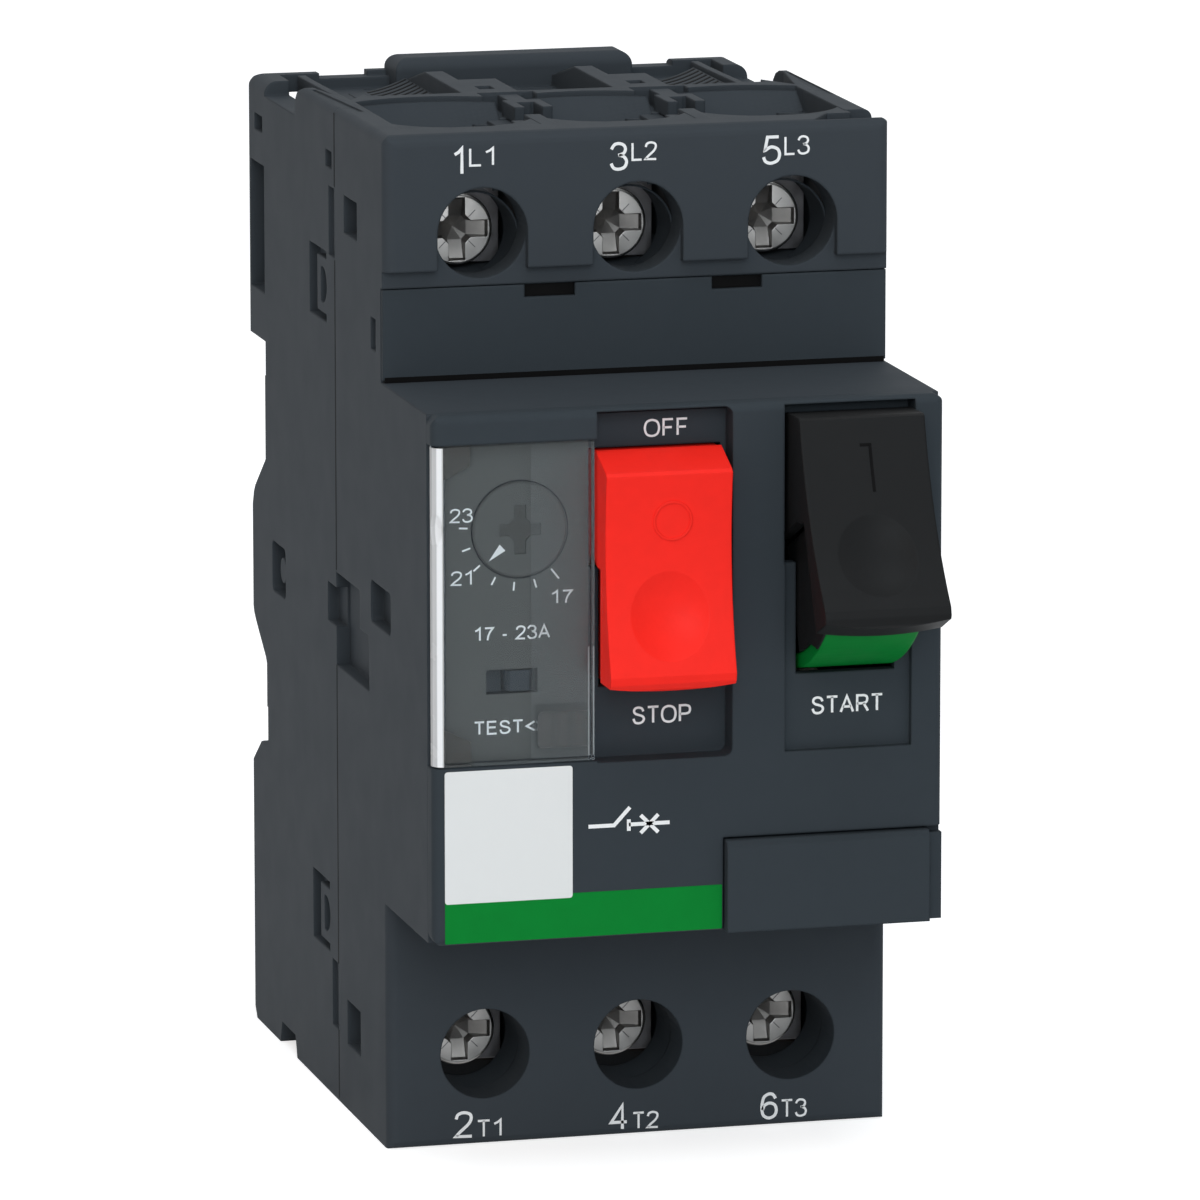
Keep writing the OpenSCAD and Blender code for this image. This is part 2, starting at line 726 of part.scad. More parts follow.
module trip_lever() {
  color(cream) {
    rod_y(-53, -47.5, 13.5, -5.2, 0.72);
    along_y(-53, -51.4) difference() {
      union() {
        translate([13.5, -5.2]) circle(2);
        translate([12.4, -18.4]) square([2.2, 13.2]);
        translate([11.6, -21.8]) square([3.8, 3.6]);
      }
      translate([12.5, -22.2]) square([2, 2.8]);
    }
  }
}

// ---------- one pole ----------

module terminal_screw(i, z) {
  color(steel) translate([poles[i], 0, z]) difference() {
    union() {
      rod_y(head_y, head_y + 2.4, 0, 0, screw_head_radius);
      rod_y(head_y + 2.3, -24.5, 0, 0, 1.94);
    }
    box(-4, 4, head_y - 1, head_y + 0.9, -0.68, 0.68);
    box(-0.68, 0.68, head_y - 1, head_y + 0.9, -4, 4);
    translate([0, head_y - 0.1, 0]) rotate([-90, 0, 0]) cylinder(h = 1.9, r1 = 1.5, r2 = 0.6);
  }
}

module terminal_clamp(i, z) {
  color([0.5, 0.5, 0.5]) translate([poles[i], 0, z]) difference() {
    union() {
      box(-4.3, 4.3, -34.8, -33.4, -3.3, 3.3);
      for (s = [-1, 1]) box(s * 3.6 - 0.7, s * 3.6 + 0.7, -33.5, -32.9, -3.3, 3.3);
    }
    rod_y(-36, -32, 0, 0, 2.02);
  }
}

module line_contact(i) {
  color(copper) translate([poles[i], 0, 0]) difference() {
    union() {
      box(-4.8, 4.8, plate_y, plate_y + plate_t, 30.6, 38);
      box(-3.1, 3.1, plate_y, plate_y + plate_t, 10.6, 30.7);
      rod_y(plate_y + plate_t - 0.1, -28.65, 0, 12.6, 1.7);
    }
    rod_y(-40, -20, 0, line_screw_z, 2);
  }
}

module load_terminal(i) {
  color(copper) translate([poles[i], 0, 0]) difference() {
    union() {
      box(-4.8, 4.8, plate_y, plate_y + plate_t, -41.4, -31);
      box(-3.1, 3.1, plate_y, plate_y + plate_t, -31.1, -26.6);
      box(-3.1, 3.1, plate_y, -4.6, -27.8, -26.6);
      box(-3.1, -0.4, -5.8, -4.6, -27.7, -19.4);
    }
    rod_y(-40, -20, 0, load_screw_z, 2);
  }
}

module arc_chute(i) {
  color(steel) translate([poles[i], 0, 0]) for (z0 = [15.8, -18.4]) {
    for (k = [0:5]) difference() {
      box(-5.4, 5.4, -20 + 2.8 * k, -19.1 + 2.8 * k, z0, z0 + 11.4);
      box(-1.5, 1.5, -21 + 2.8 * k, -18 + 2.8 * k, z0 > 0 ? z0 - 1 : z0 + 8.4,
        z0 > 0 ? z0 + 3 : z0 + 12);
    }
    for (s = [-5.8, 5.2]) box(s, s + 0.6, -20.6, -4.2, z0 + 0.6, z0 + 10.8);
  }
}

module trip_coil(i) {
  color(copper) translate([poles[i], 0, 0]) difference() {
    union() {
      for (k = [0:7]) rod_y(-42.4 + 1.1 * k, -41.5 + 1.1 * k, 0, coil_z, 5);
      rod_y(-43.2, -33.6, 0, coil_z, 3.6);
      box(-2.6, 2.6, plate_y, plate_y + plate_t, -3.6, 3);
      box(-1.5, 1.5, -34, -30.5, -5, -3.6);
      box(-2.6, 2.6, -31.6, plate_y + plate_t, -5, -3.5);
      rod_y(plate_y + plate_t - 0.1, -28.65, 0, 0.6, 1.7);
    }
    rod_y(-45, -32, 0, coil_z, 2.3);
  }
}

module trip_yoke(i) {
  color(steel) translate([poles[i], 0, 0]) difference() {
    union() {
      box(-5.4, 5.4, -44.6, -43.3, -15.9, -3.4);
      box(-5.4, 5.4, -44.6, -32.2, -15.9, -14.5);
      box(-5.4, 5.4, -33.4, -32.2, -15.9, -6);
    }
    rod_y(-46, -30, 0, coil_z, 1.7);
  }
}

module trip_plunger(i) {
  color(steel) translate([poles[i], 0, 0]) {
    rod_y(-41.4, -34.4, 0, coil_z, 2);
    rod_y(-46.6, -41.3, 0, coil_z, 1.3);
    rod_y(-34.5, -31.2, 0, coil_z, 1.3);
  }
}

module bimetal(i) {
  color([0.7, 0.66, 0.55]) translate([poles[i], 0, 0]) {
    box(-0.4, 0.4, -32.4, -4.6, strip_z - 2.5, strip_z + 2.5);
    box(-0.9, 0.9, -26, -11, strip_z - 2.9, strip_z + 2.9);
    for (k = [0:5]) box(-1.6, 1.6, -25.4 + 2.4 * k, -24.2 + 2.4 * k, strip_z - 3.4, strip_z + 3.4);
  }
}

rear_housing();
front_housing();
front_cover();
aux_contact_cover();
marker_plate();
dial_window();
setting_dial();
test_slider();
stop_button();
start_button();
start_cap();
button_axle();
din_clip();
clip_spring();
housing_screws();
mechanism_frame();
drive_yoke();
contact_carrier();
contact_springs();
trip_slide();
trip_lever();
terminal_screw(0, line_screw_z);  // line_screw_1
terminal_screw(1, line_screw_z);  // line_screw_2
terminal_screw(2, line_screw_z);  // line_screw_3
terminal_screw(0, load_screw_z);  // load_screw_1
terminal_screw(1, load_screw_z);  // load_screw_2
terminal_screw(2, load_screw_z);  // load_screw_3
terminal_clamp(0, line_screw_z);  // line_clamp_1
terminal_clamp(1, line_screw_z);  // line_clamp_2
terminal_clamp(2, line_screw_z);  // line_clamp_3
terminal_clamp(0, load_screw_z);  // load_clamp_1
terminal_clamp(1, load_screw_z);  // load_clamp_2
terminal_clamp(2, load_screw_z);  // load_clamp_3
line_contact(0);  // line_contact_1
line_contact(1);  // line_contact_2
line_contact(2);  // line_contact_3
load_terminal(0);  // load_terminal_1
load_terminal(1);  // load_terminal_2
load_terminal(2);  // load_terminal_3
contact_bridge(0);  // contact_bridge_1
contact_bridge(1);  // contact_bridge_2
contact_bridge(2);  // contact_bridge_3
arc_chute(0);  // arc_chute_1
arc_chute(1);  // arc_chute_2
arc_chute(2);  // arc_chute_3
trip_coil(0);  // trip_coil_1
trip_coil(1);  // trip_coil_2
trip_coil(2);  // trip_coil_3
trip_yoke(0);  // trip_yoke_1
trip_yoke(1);  // trip_yoke_2
trip_yoke(2);  // trip_yoke_3
trip_plunger(0);  // trip_plunger_1
trip_plunger(1);  // trip_plunger_2
trip_plunger(2);  // trip_plunger_3
bimetal(0);  // bimetal_1
bimetal(1);  // bimetal_2
bimetal(2);  // bimetal_3
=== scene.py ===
import json
import math

import bmesh
import bpy
from mathutils import Euler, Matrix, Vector
from mathutils.bvhtree import BVHTree

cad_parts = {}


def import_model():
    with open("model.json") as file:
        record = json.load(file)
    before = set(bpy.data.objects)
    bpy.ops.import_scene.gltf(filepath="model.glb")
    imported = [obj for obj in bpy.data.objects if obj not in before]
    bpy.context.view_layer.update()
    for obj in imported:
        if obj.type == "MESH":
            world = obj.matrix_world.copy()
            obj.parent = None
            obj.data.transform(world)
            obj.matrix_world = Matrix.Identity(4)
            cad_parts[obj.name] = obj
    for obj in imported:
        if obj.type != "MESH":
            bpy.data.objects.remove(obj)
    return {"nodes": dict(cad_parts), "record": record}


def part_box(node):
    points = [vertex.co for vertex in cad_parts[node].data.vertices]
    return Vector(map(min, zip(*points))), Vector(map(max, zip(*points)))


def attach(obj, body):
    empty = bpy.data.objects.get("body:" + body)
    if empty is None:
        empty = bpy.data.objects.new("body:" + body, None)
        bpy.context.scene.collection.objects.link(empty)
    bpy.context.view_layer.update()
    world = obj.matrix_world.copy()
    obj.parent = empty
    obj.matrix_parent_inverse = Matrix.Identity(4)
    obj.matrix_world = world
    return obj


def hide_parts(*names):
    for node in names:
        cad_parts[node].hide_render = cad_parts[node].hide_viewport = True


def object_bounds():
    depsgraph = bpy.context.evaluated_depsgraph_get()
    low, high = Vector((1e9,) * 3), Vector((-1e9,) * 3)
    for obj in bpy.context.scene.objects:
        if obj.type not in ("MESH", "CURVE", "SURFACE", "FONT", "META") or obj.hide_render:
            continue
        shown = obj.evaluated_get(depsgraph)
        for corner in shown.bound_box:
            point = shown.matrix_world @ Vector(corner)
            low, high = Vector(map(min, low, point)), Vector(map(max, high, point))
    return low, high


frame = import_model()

# Looks, printed marks and lights of the motor protection breaker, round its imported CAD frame.
# The pieces' sizes and places are in millimetres, and MM turns them into metres.
# Materials' grain and edges, the lamps and the camera are in metres.
CAD_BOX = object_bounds()
NODES = frame["nodes"]
MM = 0.001


def box_mm(node):
    """A CAD node's lowest and highest corners, in millimetres."""
    return [[round(c / MM, 4) for c in corner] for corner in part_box(node)]


def middle(node):
    """The middle of a CAD node's box, in millimetres."""
    return [(a + b) / 2 for a, b in zip(*box_mm(node))]


POLES = [middle(f"line_screw_{i}")[0] for i in (1, 2, 3)]
FOOT_Z = box_mm("front_housing")[0][2]
HALF_WIDTH, SPLIT_Y, TOP_Z = box_mm("front_housing")[1]

# Faces that look toward -Y: the terminal blocks, the recessed field round the buttons and
# the dial, the parts under the clear window, the start button's plate and the front cover.
BLOCK_Y = -46.5
FIELD_Y = -61.0
SCALE_Y = -61.04
DIAL_FLOOR_Y = -61.05
DIAL_FACE_Y = -61.25
START_PLATE_Y = -62.7
FRONT_Y = box_mm("front_cover")[0][1]

DIAL_X, DIAL_Z = -14.3, 11.8
INK_THICK = 0.02

# ---------------------------------------------------------------- node helpers


class Graph:
    """Small helper around one material's node tree."""

    def __init__(self, name):
        self.mat = bpy.data.materials.new(name)
        self.mat.use_nodes = True
        self.tree = self.mat.node_tree
        self.bsdf = self.tree.nodes["Principled BSDF"]
        self.out = self.tree.nodes["Material Output"]
        self.coord = self.tree.nodes.new("ShaderNodeTexCoord")

    def new(self, kind, **values):
        """A new node with its properties or inputs set by name."""
        node = self.tree.nodes.new("ShaderNode" + kind)
        for key, value in values.items():
            if hasattr(node, key):
                setattr(node, key, value)
            else:
                node.inputs[key.replace("_", " ")].default_value = value
        return node

    def link(self, a, b):
        self.tree.links.new(a, b)

    def noise(self, scale, detail=3.0, stretch=(1, 1, 1)):
        """Noise over the object's own coordinates; stretch scales them by axis."""
        mapping = self.new("Mapping")
        mapping.inputs["Scale"].default_value = stretch
        self.link(self.coord.outputs["Object"], mapping.inputs["Vector"])
        tex = self.new("TexNoise", Scale=scale, Detail=detail)
        self.link(mapping.outputs["Vector"], tex.inputs["Vector"])
        return tex.outputs["Fac"]

    def ramp(self, fac, stops):
        """Colours along a factor, from stops of (position, colour)."""
        node = self.new("ValToRGB")
        elements = node.color_ramp.elements
        for k, (pos, value) in enumerate(stops):
            item = elements[k] if k < 2 else elements.new(pos)
            item.position = pos
            item.color = (*value, 1)
        self.link(fac, node.inputs["Fac"])
        return node.outputs["Color"]

    def varied(self, base, spread, scale):
        """Base colour that drifts by the spread, up and down."""
        low = [c * (1 - spread) for c in base]
        high = [min(1, c * (1 + spread)) for c in base]
        colour = self.ramp(self.noise(scale), [(0.3, low), (0.7, high)])
        self.link(colour, self.bsdf.inputs["Base Color"])

    def rough(self, low, high, scale=300.0):
        """Roughness that drifts between two values."""
        value = self.ramp(self.noise(scale), [(0.3, (low,) * 3), (0.7, (high,) * 3)])
        self.link(value, self.bsdf.inputs["Roughness"])

    def surface(self, grain, scale, edge, stretch=(1, 1, 1)):
        """Fine grain bump over softened edges; grain and edge are in metres."""
        bump = self.new("Bump", Strength=0.5, Distance=grain)
        self.link(self.noise(scale, 4.0, stretch), bump.inputs["Height"])
        if edge:
            bevel = self.new("Bevel", samples=6, Radius=edge)
            self.link(bevel.outputs["Normal"], bump.inputs["Normal"])
        self.link(bump.outputs["Normal"], self.bsdf.inputs["Normal"])


# ---------------------------------------------------------------- materials


def plastic(name, base, rough, spread=0.012, grain=0.000004, edge=0.0003, specular=0.08):
    """Moulded plastic with a fine grain; grain and edge are in metres."""
    g = Graph(name)
    g.varied(base, spread, scale=700.0)
    g.rough(*rough)
    g.surface(grain, scale=4200.0, edge=edge)
    g.bsdf.inputs["Specular IOR Level"].default_value = specular
    return g.mat


def ink(name, base, rough, spread):
    """Flat printed colour."""
    return plastic(name, base, rough, spread, grain=0.000002, edge=0)


def metal(name, base, rough=(0.25, 0.4), spread=0.12, stretch=(1, 1, 1)):
    """Bare metal; stretch draws its grain out along an axis."""
    g = Graph(name)
    g.bsdf.inputs["Metallic"].default_value = 1.0
    g.varied(base, spread, scale=500.0)
    g.rough(*rough, scale=900.0)
    g.surface(grain=0.00001, scale=1500.0, edge=0.0001, stretch=stretch)
    return g.mat


def clear_plastic():
    """Faintly tinted clear sheet that reflects more where it is seen at a low angle."""
    g = Graph("clear_cover")
    g.tree.nodes.remove(g.bsdf)
    clear = g.new("BsdfTransparent")
    tint = g.ramp(g.noise(60.0), [(0.3, (0.94, 0.955, 0.96)), (0.7, (0.955, 0.97, 0.975))])
    g.link(tint, clear.inputs["Color"])
    gloss = g.new("BsdfGlossy", Roughness=0.08)
    gloss.inputs["Color"].default_value = (0.9, 0.93, 0.95, 1)
    fresnel = g.new("Fresnel", IOR=1.22)
    both = g.new("MixShader")
    g.link(fresnel.outputs[0], both.inputs["Fac"])
    g.link(clear.outputs[0], both.inputs[1])
    g.link(gloss.outputs[0], both.inputs[2])
    g.link(both.outputs[0], g.out.inputs["Surface"])
    return g.mat


def tinted(name, base, cover):
    """Plastic that hides only part of what is behind it; cover is the share it hides."""
    g = Graph(name)
    g.varied(base, spread=0.04, scale=900.0)
    g.rough(0.3, 0.4)
    clear = g.new("BsdfTransparent")
    mix = g.new("MixShader")
    mix.inputs["Fac"].default_value = cover
    g.link(clear.outputs[0], mix.inputs[1])
    g.link(g.bsdf.outputs[0], mix.inputs[2])
    g.link(mix.outputs[0], g.out.inputs["Surface"])
    return g.mat


def painted_edge_highlight():
    """Edge of the clear cover along the hinge: pale and grey bands across it, the painted
    highlight and reflections of its rounded edge.
    """
    g = Graph("window_edge_highlight")
    split = g.new("SeparateXYZ")
    g.link(g.coord.outputs["Object"], split.inputs["Vector"])
    across = g.new("MapRange")
    across.inputs["From Min"].default_value = -22.43 * MM
    across.inputs["From Max"].default_value = -21.50 * MM
    g.link(split.outputs["X"], across.inputs["Value"])
    bands = g.ramp(across.outputs["Result"], [
        (0.0, (0.30, 0.30, 0.30)), (0.10, (0.58, 0.585, 0.59)), (0.34, (0.50, 0.505, 0.51)),
        (0.42, (0.84, 0.85, 0.86)), (0.80, (0.80, 0.81, 0.82)), (0.88, (0.40, 0.40, 0.40)),
        (1.0, (0.62, 0.62, 0.61))])
    g.link(bands, g.bsdf.inputs["Base Color"])
    g.rough(0.2, 0.3)
    return g.mat


CASE = plastic("case_grey", (0.0380, 0.0455, 0.0530), (0.66, 0.71))
FRONT = plastic("front_slate", (0.0320, 0.0400, 0.0470), (0.65, 0.70))
RED = plastic("stop_red", (0.90, 0.021, 0.013), (0.42, 0.50), 0.02, edge=0.0002, specular=0.1)
BLACK = plastic("start_black", (0.0095, 0.0100, 0.0105), (0.45, 0.52), 0.02)
GREEN = plastic("start_green", (0.0, 0.18, 0.026), (0.40, 0.50), 0.04)
DIAL = plastic("dial_grey", (0.101, 0.105, 0.103), (0.55, 0.65), edge=0.0001)
CROSS_SHADE = plastic("cross_shade_grey", (0.075, 0.077, 0.075), (0.55, 0.65), edge=0)
SCALE = plastic("scale_grey", (0.101, 0.105, 0.103), (0.55, 0.65), edge=0)
GAP_SHADE = plastic("gap_shade_slate", (0.018, 0.022, 0.026), (0.5, 0.6), edge=0.0001)
SLIDER_LIT = plastic("slider_lit_slate", (0.048, 0.058, 0.068), (0.5, 0.6), edge=0.0001)
# Near-black, used as painted shade (the sheets in the pry notches, in the gap under the blanking
# cover and in the louvre slits), and for the dark housing joint and the stroke on the on button.
SHADE_AND_MARK_BLACK = plastic("shade_and_mark_black", (0.002, 0.002, 0.0022), (0.7, 0.8), edge=0)
CLIP = plastic("clip_black", (0.030, 0.030, 0.033), (0.40, 0.50))
BROWN = plastic("carrier_brown", (0.11, 0.06, 0.04), (0.44, 0.50))
CREAM = plastic("trip_cream", (0.68, 0.64, 0.54), (0.44, 0.50))
ZINC = metal("zinc_steel", (0.55, 0.56, 0.58))
DARK = metal("dark_steel", (0.20, 0.20, 0.21), (0.35, 0.5))
COPPER = metal("contact_metal", (0.72, 0.43, 0.27))
STRIP = metal("bimetal_metal", (0.60, 0.57, 0.48), stretch=(1, 0.05, 1))
SCREW = metal("screw_steel", (0.50, 0.495, 0.485), (0.34, 0.46), 0.08)
RECESS_SHADE = metal("recess_shade_steel", (0.30, 0.29, 0.28), (0.36, 0.5), 0.12)
SHADED = metal("side_shade_steel", (0.05, 0.05, 0.05), (0.5, 0.6), 0.1)
INK = ink("white_ink", (0.82, 0.83, 0.83), (0.5, 0.6), 0.03)
LABEL = ink("label_white", (0.72, 0.73, 0.72), (0.4, 0.5), 0.004)
# A brighter copy of the white ink for the print under the clear cover: painted light that makes up
# for the dimmer light there.
INK_LIT_UNDER_COVER = ink("white_ink_lit_under_cover", (0.96, 0.97, 0.97), (0.5, 0.6), 0.01)
STRIPE = ink("stripe_green", (0.0, 0.188, 0.024), (0.4, 0.5), 0.03)
CLEAR = clear_plastic()
TINT = tinted("smoked_corner", (0.052, 0.050, 0.045), 0.60)
POST = tinted("smoked_post", (0.030, 0.028, 0.026), 0.55)
RIM_HIGHLIGHT = tinted("rim_highlight", (0.55, 0.56, 0.56), 0.40)
BAND = tinted("thicker_band", (0.30, 0.32, 0.33), 0.10)
EDGE = painted_edge_highlight()

SLOTS = {
    "case_grey": CASE, "front_slate": FRONT, "stop_red": RED, "start_black": BLACK,
    "start_green": GREEN, "dial_grey": DIAL, "clip_black": CLIP, "carrier_brown": BROWN,
    "trip_cream": CREAM, "zinc_steel": ZINC, "dark_steel": DARK, "contact_metal": COPPER,
    "bimetal_metal": STRIP, "clear_cover": CLEAR,
}


def dress_nodes():
    """Gives every CAD node its slot's material and flat faces."""
    for part in frame["record"]["subparts"]:
        materials = NODES[part["node"]].data.materials
        materials.clear()
        materials.append(SLOTS[part["material_slot"]])
    # painted light: the test slider takes a lighter copy of the front slate, so that it looks lit
    # in its recess
    NODES["test_slider"].data.materials[0] = SLIDER_LIT
    for obj in NODES.values():
        for poly in obj.data.polygons:
            poly.use_smooth = False


# ---------------------------------------------------------------- pieces and outlines


def add(name, mesh, body, material):
    """Makes the mesh a piece that rides on a body."""
    obj = bpy.data.objects.new(name, mesh)
    bpy.context.scene.collection.objects.link(obj)
    mesh.materials.append(material)
    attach(obj, body)
    return obj


def mesh_from(bm, name):
    """Turns a bmesh into a mesh with outward normals."""
    bmesh.ops.recalc_face_normals(bm, faces=bm.faces)
    mesh = bpy.data.meshes.new(name)
    bm.to_mesh(mesh)
    bm.free()
    return mesh


def circle(x, z, r, steps=72):
    """A circle as (x, z) points."""
    return [(x + r * math.cos(2 * math.pi * k / steps), z + r * math.sin(2 * math.pi * k / steps))
            for k in range(steps)]


def rect(x0, x1, z0, z1):
    """A rectangle's corners as (x, z) points."""
    return [(x0, z0), (x1, z0), (x1, z1), (x0, z1)]


def cross_outline(x, z, across, up, wide, inner):
    """A cross with arms of length across and up, and half width wide, joined by diagonals."""
    out = []
    for k in range(4):
        arm = up if k % 2 else across
        a = math.radians(90 * k)
        c, d = math.cos(a), math.sin(a)
        for u, v in ((inner, -wide), (arm, -wide), (arm, wide), (inner, wide)):
            out.append((x + u * c - v * d, z + u * d + v * c))
    return out


def verts_at(bm, outline, y):
    """One vertex for each (x, z) point of the outline, at y."""
    return [bm.verts.new(Vector((x, y, z)) * MM) for x, z in outline]


def wall(bm, a, b, index=0):
    """Faces all round between two rings with the same number of points."""
    for k in range(len(a)):
        bm.faces.new((a[k - 1], a[k], b[k], b[k - 1])).material_index = index


def fill(bm, rings):
    """Flat faces inside one ring, or between an outer ring and the rings inside it."""
    edges = [bm.edges.get((ring[k - 1], ring[k])) or bm.edges.new((ring[k - 1], ring[k]))
             for ring in rings for k in range(len(ring))]
    bmesh.ops.triangle_fill(bm, use_beauty=True, edges=edges)


def flat_piece(name, loops, y, thick, body, material):
    """A flat plate facing -Y inside its outer loop, with the other loops as holes."""
    bm = bmesh.new()
    rings = [verts_at(bm, loop, y) for loop in loops]
    fill(bm, rings)
    front = bm.faces[:]
    back = {v: bm.verts.new(v.co + Vector((0, thick * MM, 0))) for v in bm.verts[:]}
    for face in front:
        bm.faces.new([back[v] for v in reversed(face.verts)])
    for ring in rings:
        wall(bm, ring, [back[v] for v in ring])
    return add(name, mesh_from(bm, name), body, material)


def prism(bm, outline, z0, z1):
    """A closed upright prism over an outline in x and y."""
    low = [bm.verts.new(Vector((x, y, z0)) * MM) for x, y in outline]
    high = [bm.verts.new(Vector((x, y, z1)) * MM) for x, y in outline]
    bm.faces.new(low[::-1])
    bm.faces.new(high)
    wall(bm, low, high)


def sheet(bm, columns, height, thick):
    """A closed sheet over columns of (x, y) points, its top at height(x, y)."""
    tops = [[bm.verts.new(Vector((x, y, height(x, y))) * MM) for x, y in col] for col in columns]
    lows = [[bm.verts.new(v.co - Vector((0, 0, thick)) * MM) for v in col] for col in tops]
    last, end = len(columns) - 1, len(columns[0]) - 1
    for i in range(last):
        for k in range(end):
            bm.faces.new((tops[i][k], tops[i + 1][k], tops[i + 1][k + 1], tops[i][k + 1]))
            bm.faces.new((lows[i][k + 1], lows[i + 1][k + 1], lows[i + 1][k], lows[i][k]))
        for k in (0, end):
            bm.faces.new((tops[i][k], lows[i][k], lows[i + 1][k], tops[i + 1][k]))
    for i in (0, last):
        for k in range(end):
            bm.faces.new((tops[i][k], tops[i][k + 1], lows[i][k + 1], lows[i][k]))


def on_front(y):
    """Maps (x, z, height) to a face that looks toward -Y."""
    return lambda x, z, h: Vector((x, y - h, z)) * MM


def on_side(side):
    """Maps (y, z, height) to the housing's left (-1) or right (1) side."""
    return lambda y, z, h: Vector((side * (HALF_WIDTH + h), y, z)) * MM


def ribbon(bm, pts, width, place, thick):
    """A closed flat bar along the points, mitred at its bends."""
    left, right = [], []
    for k, p in enumerate(pts):
        before = (p - pts[k - 1]).normalized() if k else None
        after = (pts[k + 1] - p).normalized() if k < len(pts) - 1 else None
        if before is None:
            side = Vector((-after.y, after.x))
        elif after is None:
            side = Vector((-before.y, before.x))
        else:
            mid = before + after
            mid = mid.normalized() if mid.length > 1e-4 else before
            side = Vector((-mid.y, mid.x))
            side /= max(0.45, side.dot(Vector((-before.y, before.x))))
        left.append(p + side * width / 2)
        right.append(p - side * width / 2)
    lt, rt, lb, rb = [[bm.verts.new(place(q.x, q.y, h)) for q in line]
                      for line, h in ((left, thick), (right, thick), (left, 0.0), (right, 0.0))]
    for k in range(len(pts) - 1):
        bm.faces.new((lt[k], rt[k], rt[k + 1], lt[k + 1]))
        bm.faces.new((lb[k + 1], rb[k + 1], rb[k], lb[k]))
        bm.faces.new((lt[k + 1], lb[k + 1], lb[k], lt[k]))
        bm.faces.new((rt[k], rb[k], rb[k + 1], rt[k + 1]))
    bm.faces.new((lt[0], lb[0], rb[0], rt[0]))
    bm.faces.new((rt[-1], rb[-1], lb[-1], lt[-1]))


def bar(bm, start, end, y, width):
    """A straight printed line on a face that looks toward -Y."""
    ribbon(bm, [Vector(start), Vector(end)], width, on_front(y), INK_THICK)


def ring_mark(bm, x, z, r, width, place):
    """A raised ring, closed all round."""
    steps = 48
    top, foot = 0.08, -0.05
    rows = []
    for rad, h in ((r, top), (r - width, top), (r - width, foot), (r, foot)):
        rows.append([bm.verts.new(place(u, v, h)) for u, v in circle(x, z, rad, steps)])
    for k in range(4):
        wall(bm, rows[k - 1], rows[k])


def plate(bm, x0, x1, z0, z1, y, thick, r):
    """A thin plate with rounded corners and a softened front edge."""
    ring = []
    for cx, cz, a0 in ((x1 - r, z1 - r, 0), (x0 + r, z1 - r, 90), (x0 + r, z0 + r, 180),
                       (x1 - r, z0 + r, 270)):
        for k in range(5):
            a = math.radians(a0 + 22.5 * k)
            ring.append((cx + r * math.cos(a), cz + r * math.sin(a)))
    mid = Vector(((x0 + x1) / 2, (z0 + z1) / 2))
    rows = []
    for inset, h in ((0.0, -0.02), (0.0, thick * 0.6), (0.03, thick)):
        row = []
        for x, z in ring:
            d = Vector((x, z)) - mid
            d *= 1 - inset / max(abs(d.x), abs(d.y))
            row.append((mid.x + d.x, mid.y + d.y))
        rows.append(verts_at(bm, row, y - h))
    wall(bm, rows[0], rows[1])
    wall(bm, rows[1], rows[2])
    bm.faces.new(rows[2])
    bm.faces.new(rows[0][::-1])


# ---------------------------------------------------------------- lettering

# A glyph is its width and its strokes, in units of the cap height.
# "~" starts a smooth stroke and "|" a straight one.
GLYPHS = {
    "0": (0.62, "~.31,0 .56,.18 .6,.5 .56,.82 .31,1 .06,.82 .02,.5 .06,.18 .31,0"),
    "1": (0.52, "|.06,.76 .22,.85 .36,1 .36,0"),
    "2": (0.60, "~.05,.74 .12,.93 .32,1 .52,.92 .56,.73 .46,.5 .2,.22 .04,.02 |.04,0 .58,0"),
    "3": (0.60, "~.04,.78 .14,.95 .3,1 .47,.93 .53,.77 .46,.61 .28,.54"
                " ~.305,.54 .4,.52 .51,.44 .57,.28 .5,.08 .3,0 .12,.05 .03,.23"),
    "4": (0.62, "|.44,0 .44,1 .03,.29 .6,.29"),
    "5": (0.60, "|.54,1 .16,1 .08,.5 ~.08,.49 .28,.62 .5,.54 .57,.33 .5,.1 .28,0 .1,.07 .03,.24"),
    "6": (0.60, "~.54,.8 .44,.97 .28,1 .1,.86 .03,.5 .06,.18 .18,.03 .34,0 .51,.1 .57,.32 .5,.54"
                " .31,.62 .13,.53 .05,.34"),
    "7": (0.58, "|.03,.98 .55,.98 ~.55,.97 .36,.66 .24,.32 .2,0"),
    "A": (0.70, "|.02,0 .35,1 .68,0 |.14,.33 .56,.33"),
    "E": (0.62, "|.56,1 .06,1 .06,0 .58,0 |.06,.53 .52,.53"),
    "F": (0.58, "|.54,1 .06,1 .06,0 |.06,.5 .48,.5"),
    "L": (0.54, "|.06,1 .06,0 .52,0"),
    "O": (0.78, "~.39,0 .66,.13 .75,.5 .66,.87 .39,1 .12,.87 .03,.5 .12,.13 .39,0"),
    "P": (0.64, "|.06,0 .06,1 .36,1 ~.36,1 .54,.93 .6,.73 .54,.53 .36,.46 |.36,.46 .06,.46"),
    "R": (0.68, "|.06,0 .06,1 .38,1 ~.38,1 .55,.93 .6,.74 .54,.56 .38,.49 |.38,.49 .06,.49"
                " |.4,.49 .64,0"),
    "S": (0.64, "~.56,.74 .48,.93 .3,1 .12,.93 .07,.75 .16,.6 .34,.52 .52,.43 .59,.26 .5,.07"
                " .3,0 .12,.07 .04,.3"),
    "T": (0.60, "|.02,1 .58,1 |.3,1 .3,0"),
    "<": (0.60, "|.54,.85 .08,.48 .54,.11"),
    "-": (0.34, "|.04,.36 .3,.36"),
    " ": (0.28, ""),
}
LETTER_GAP = 0.14


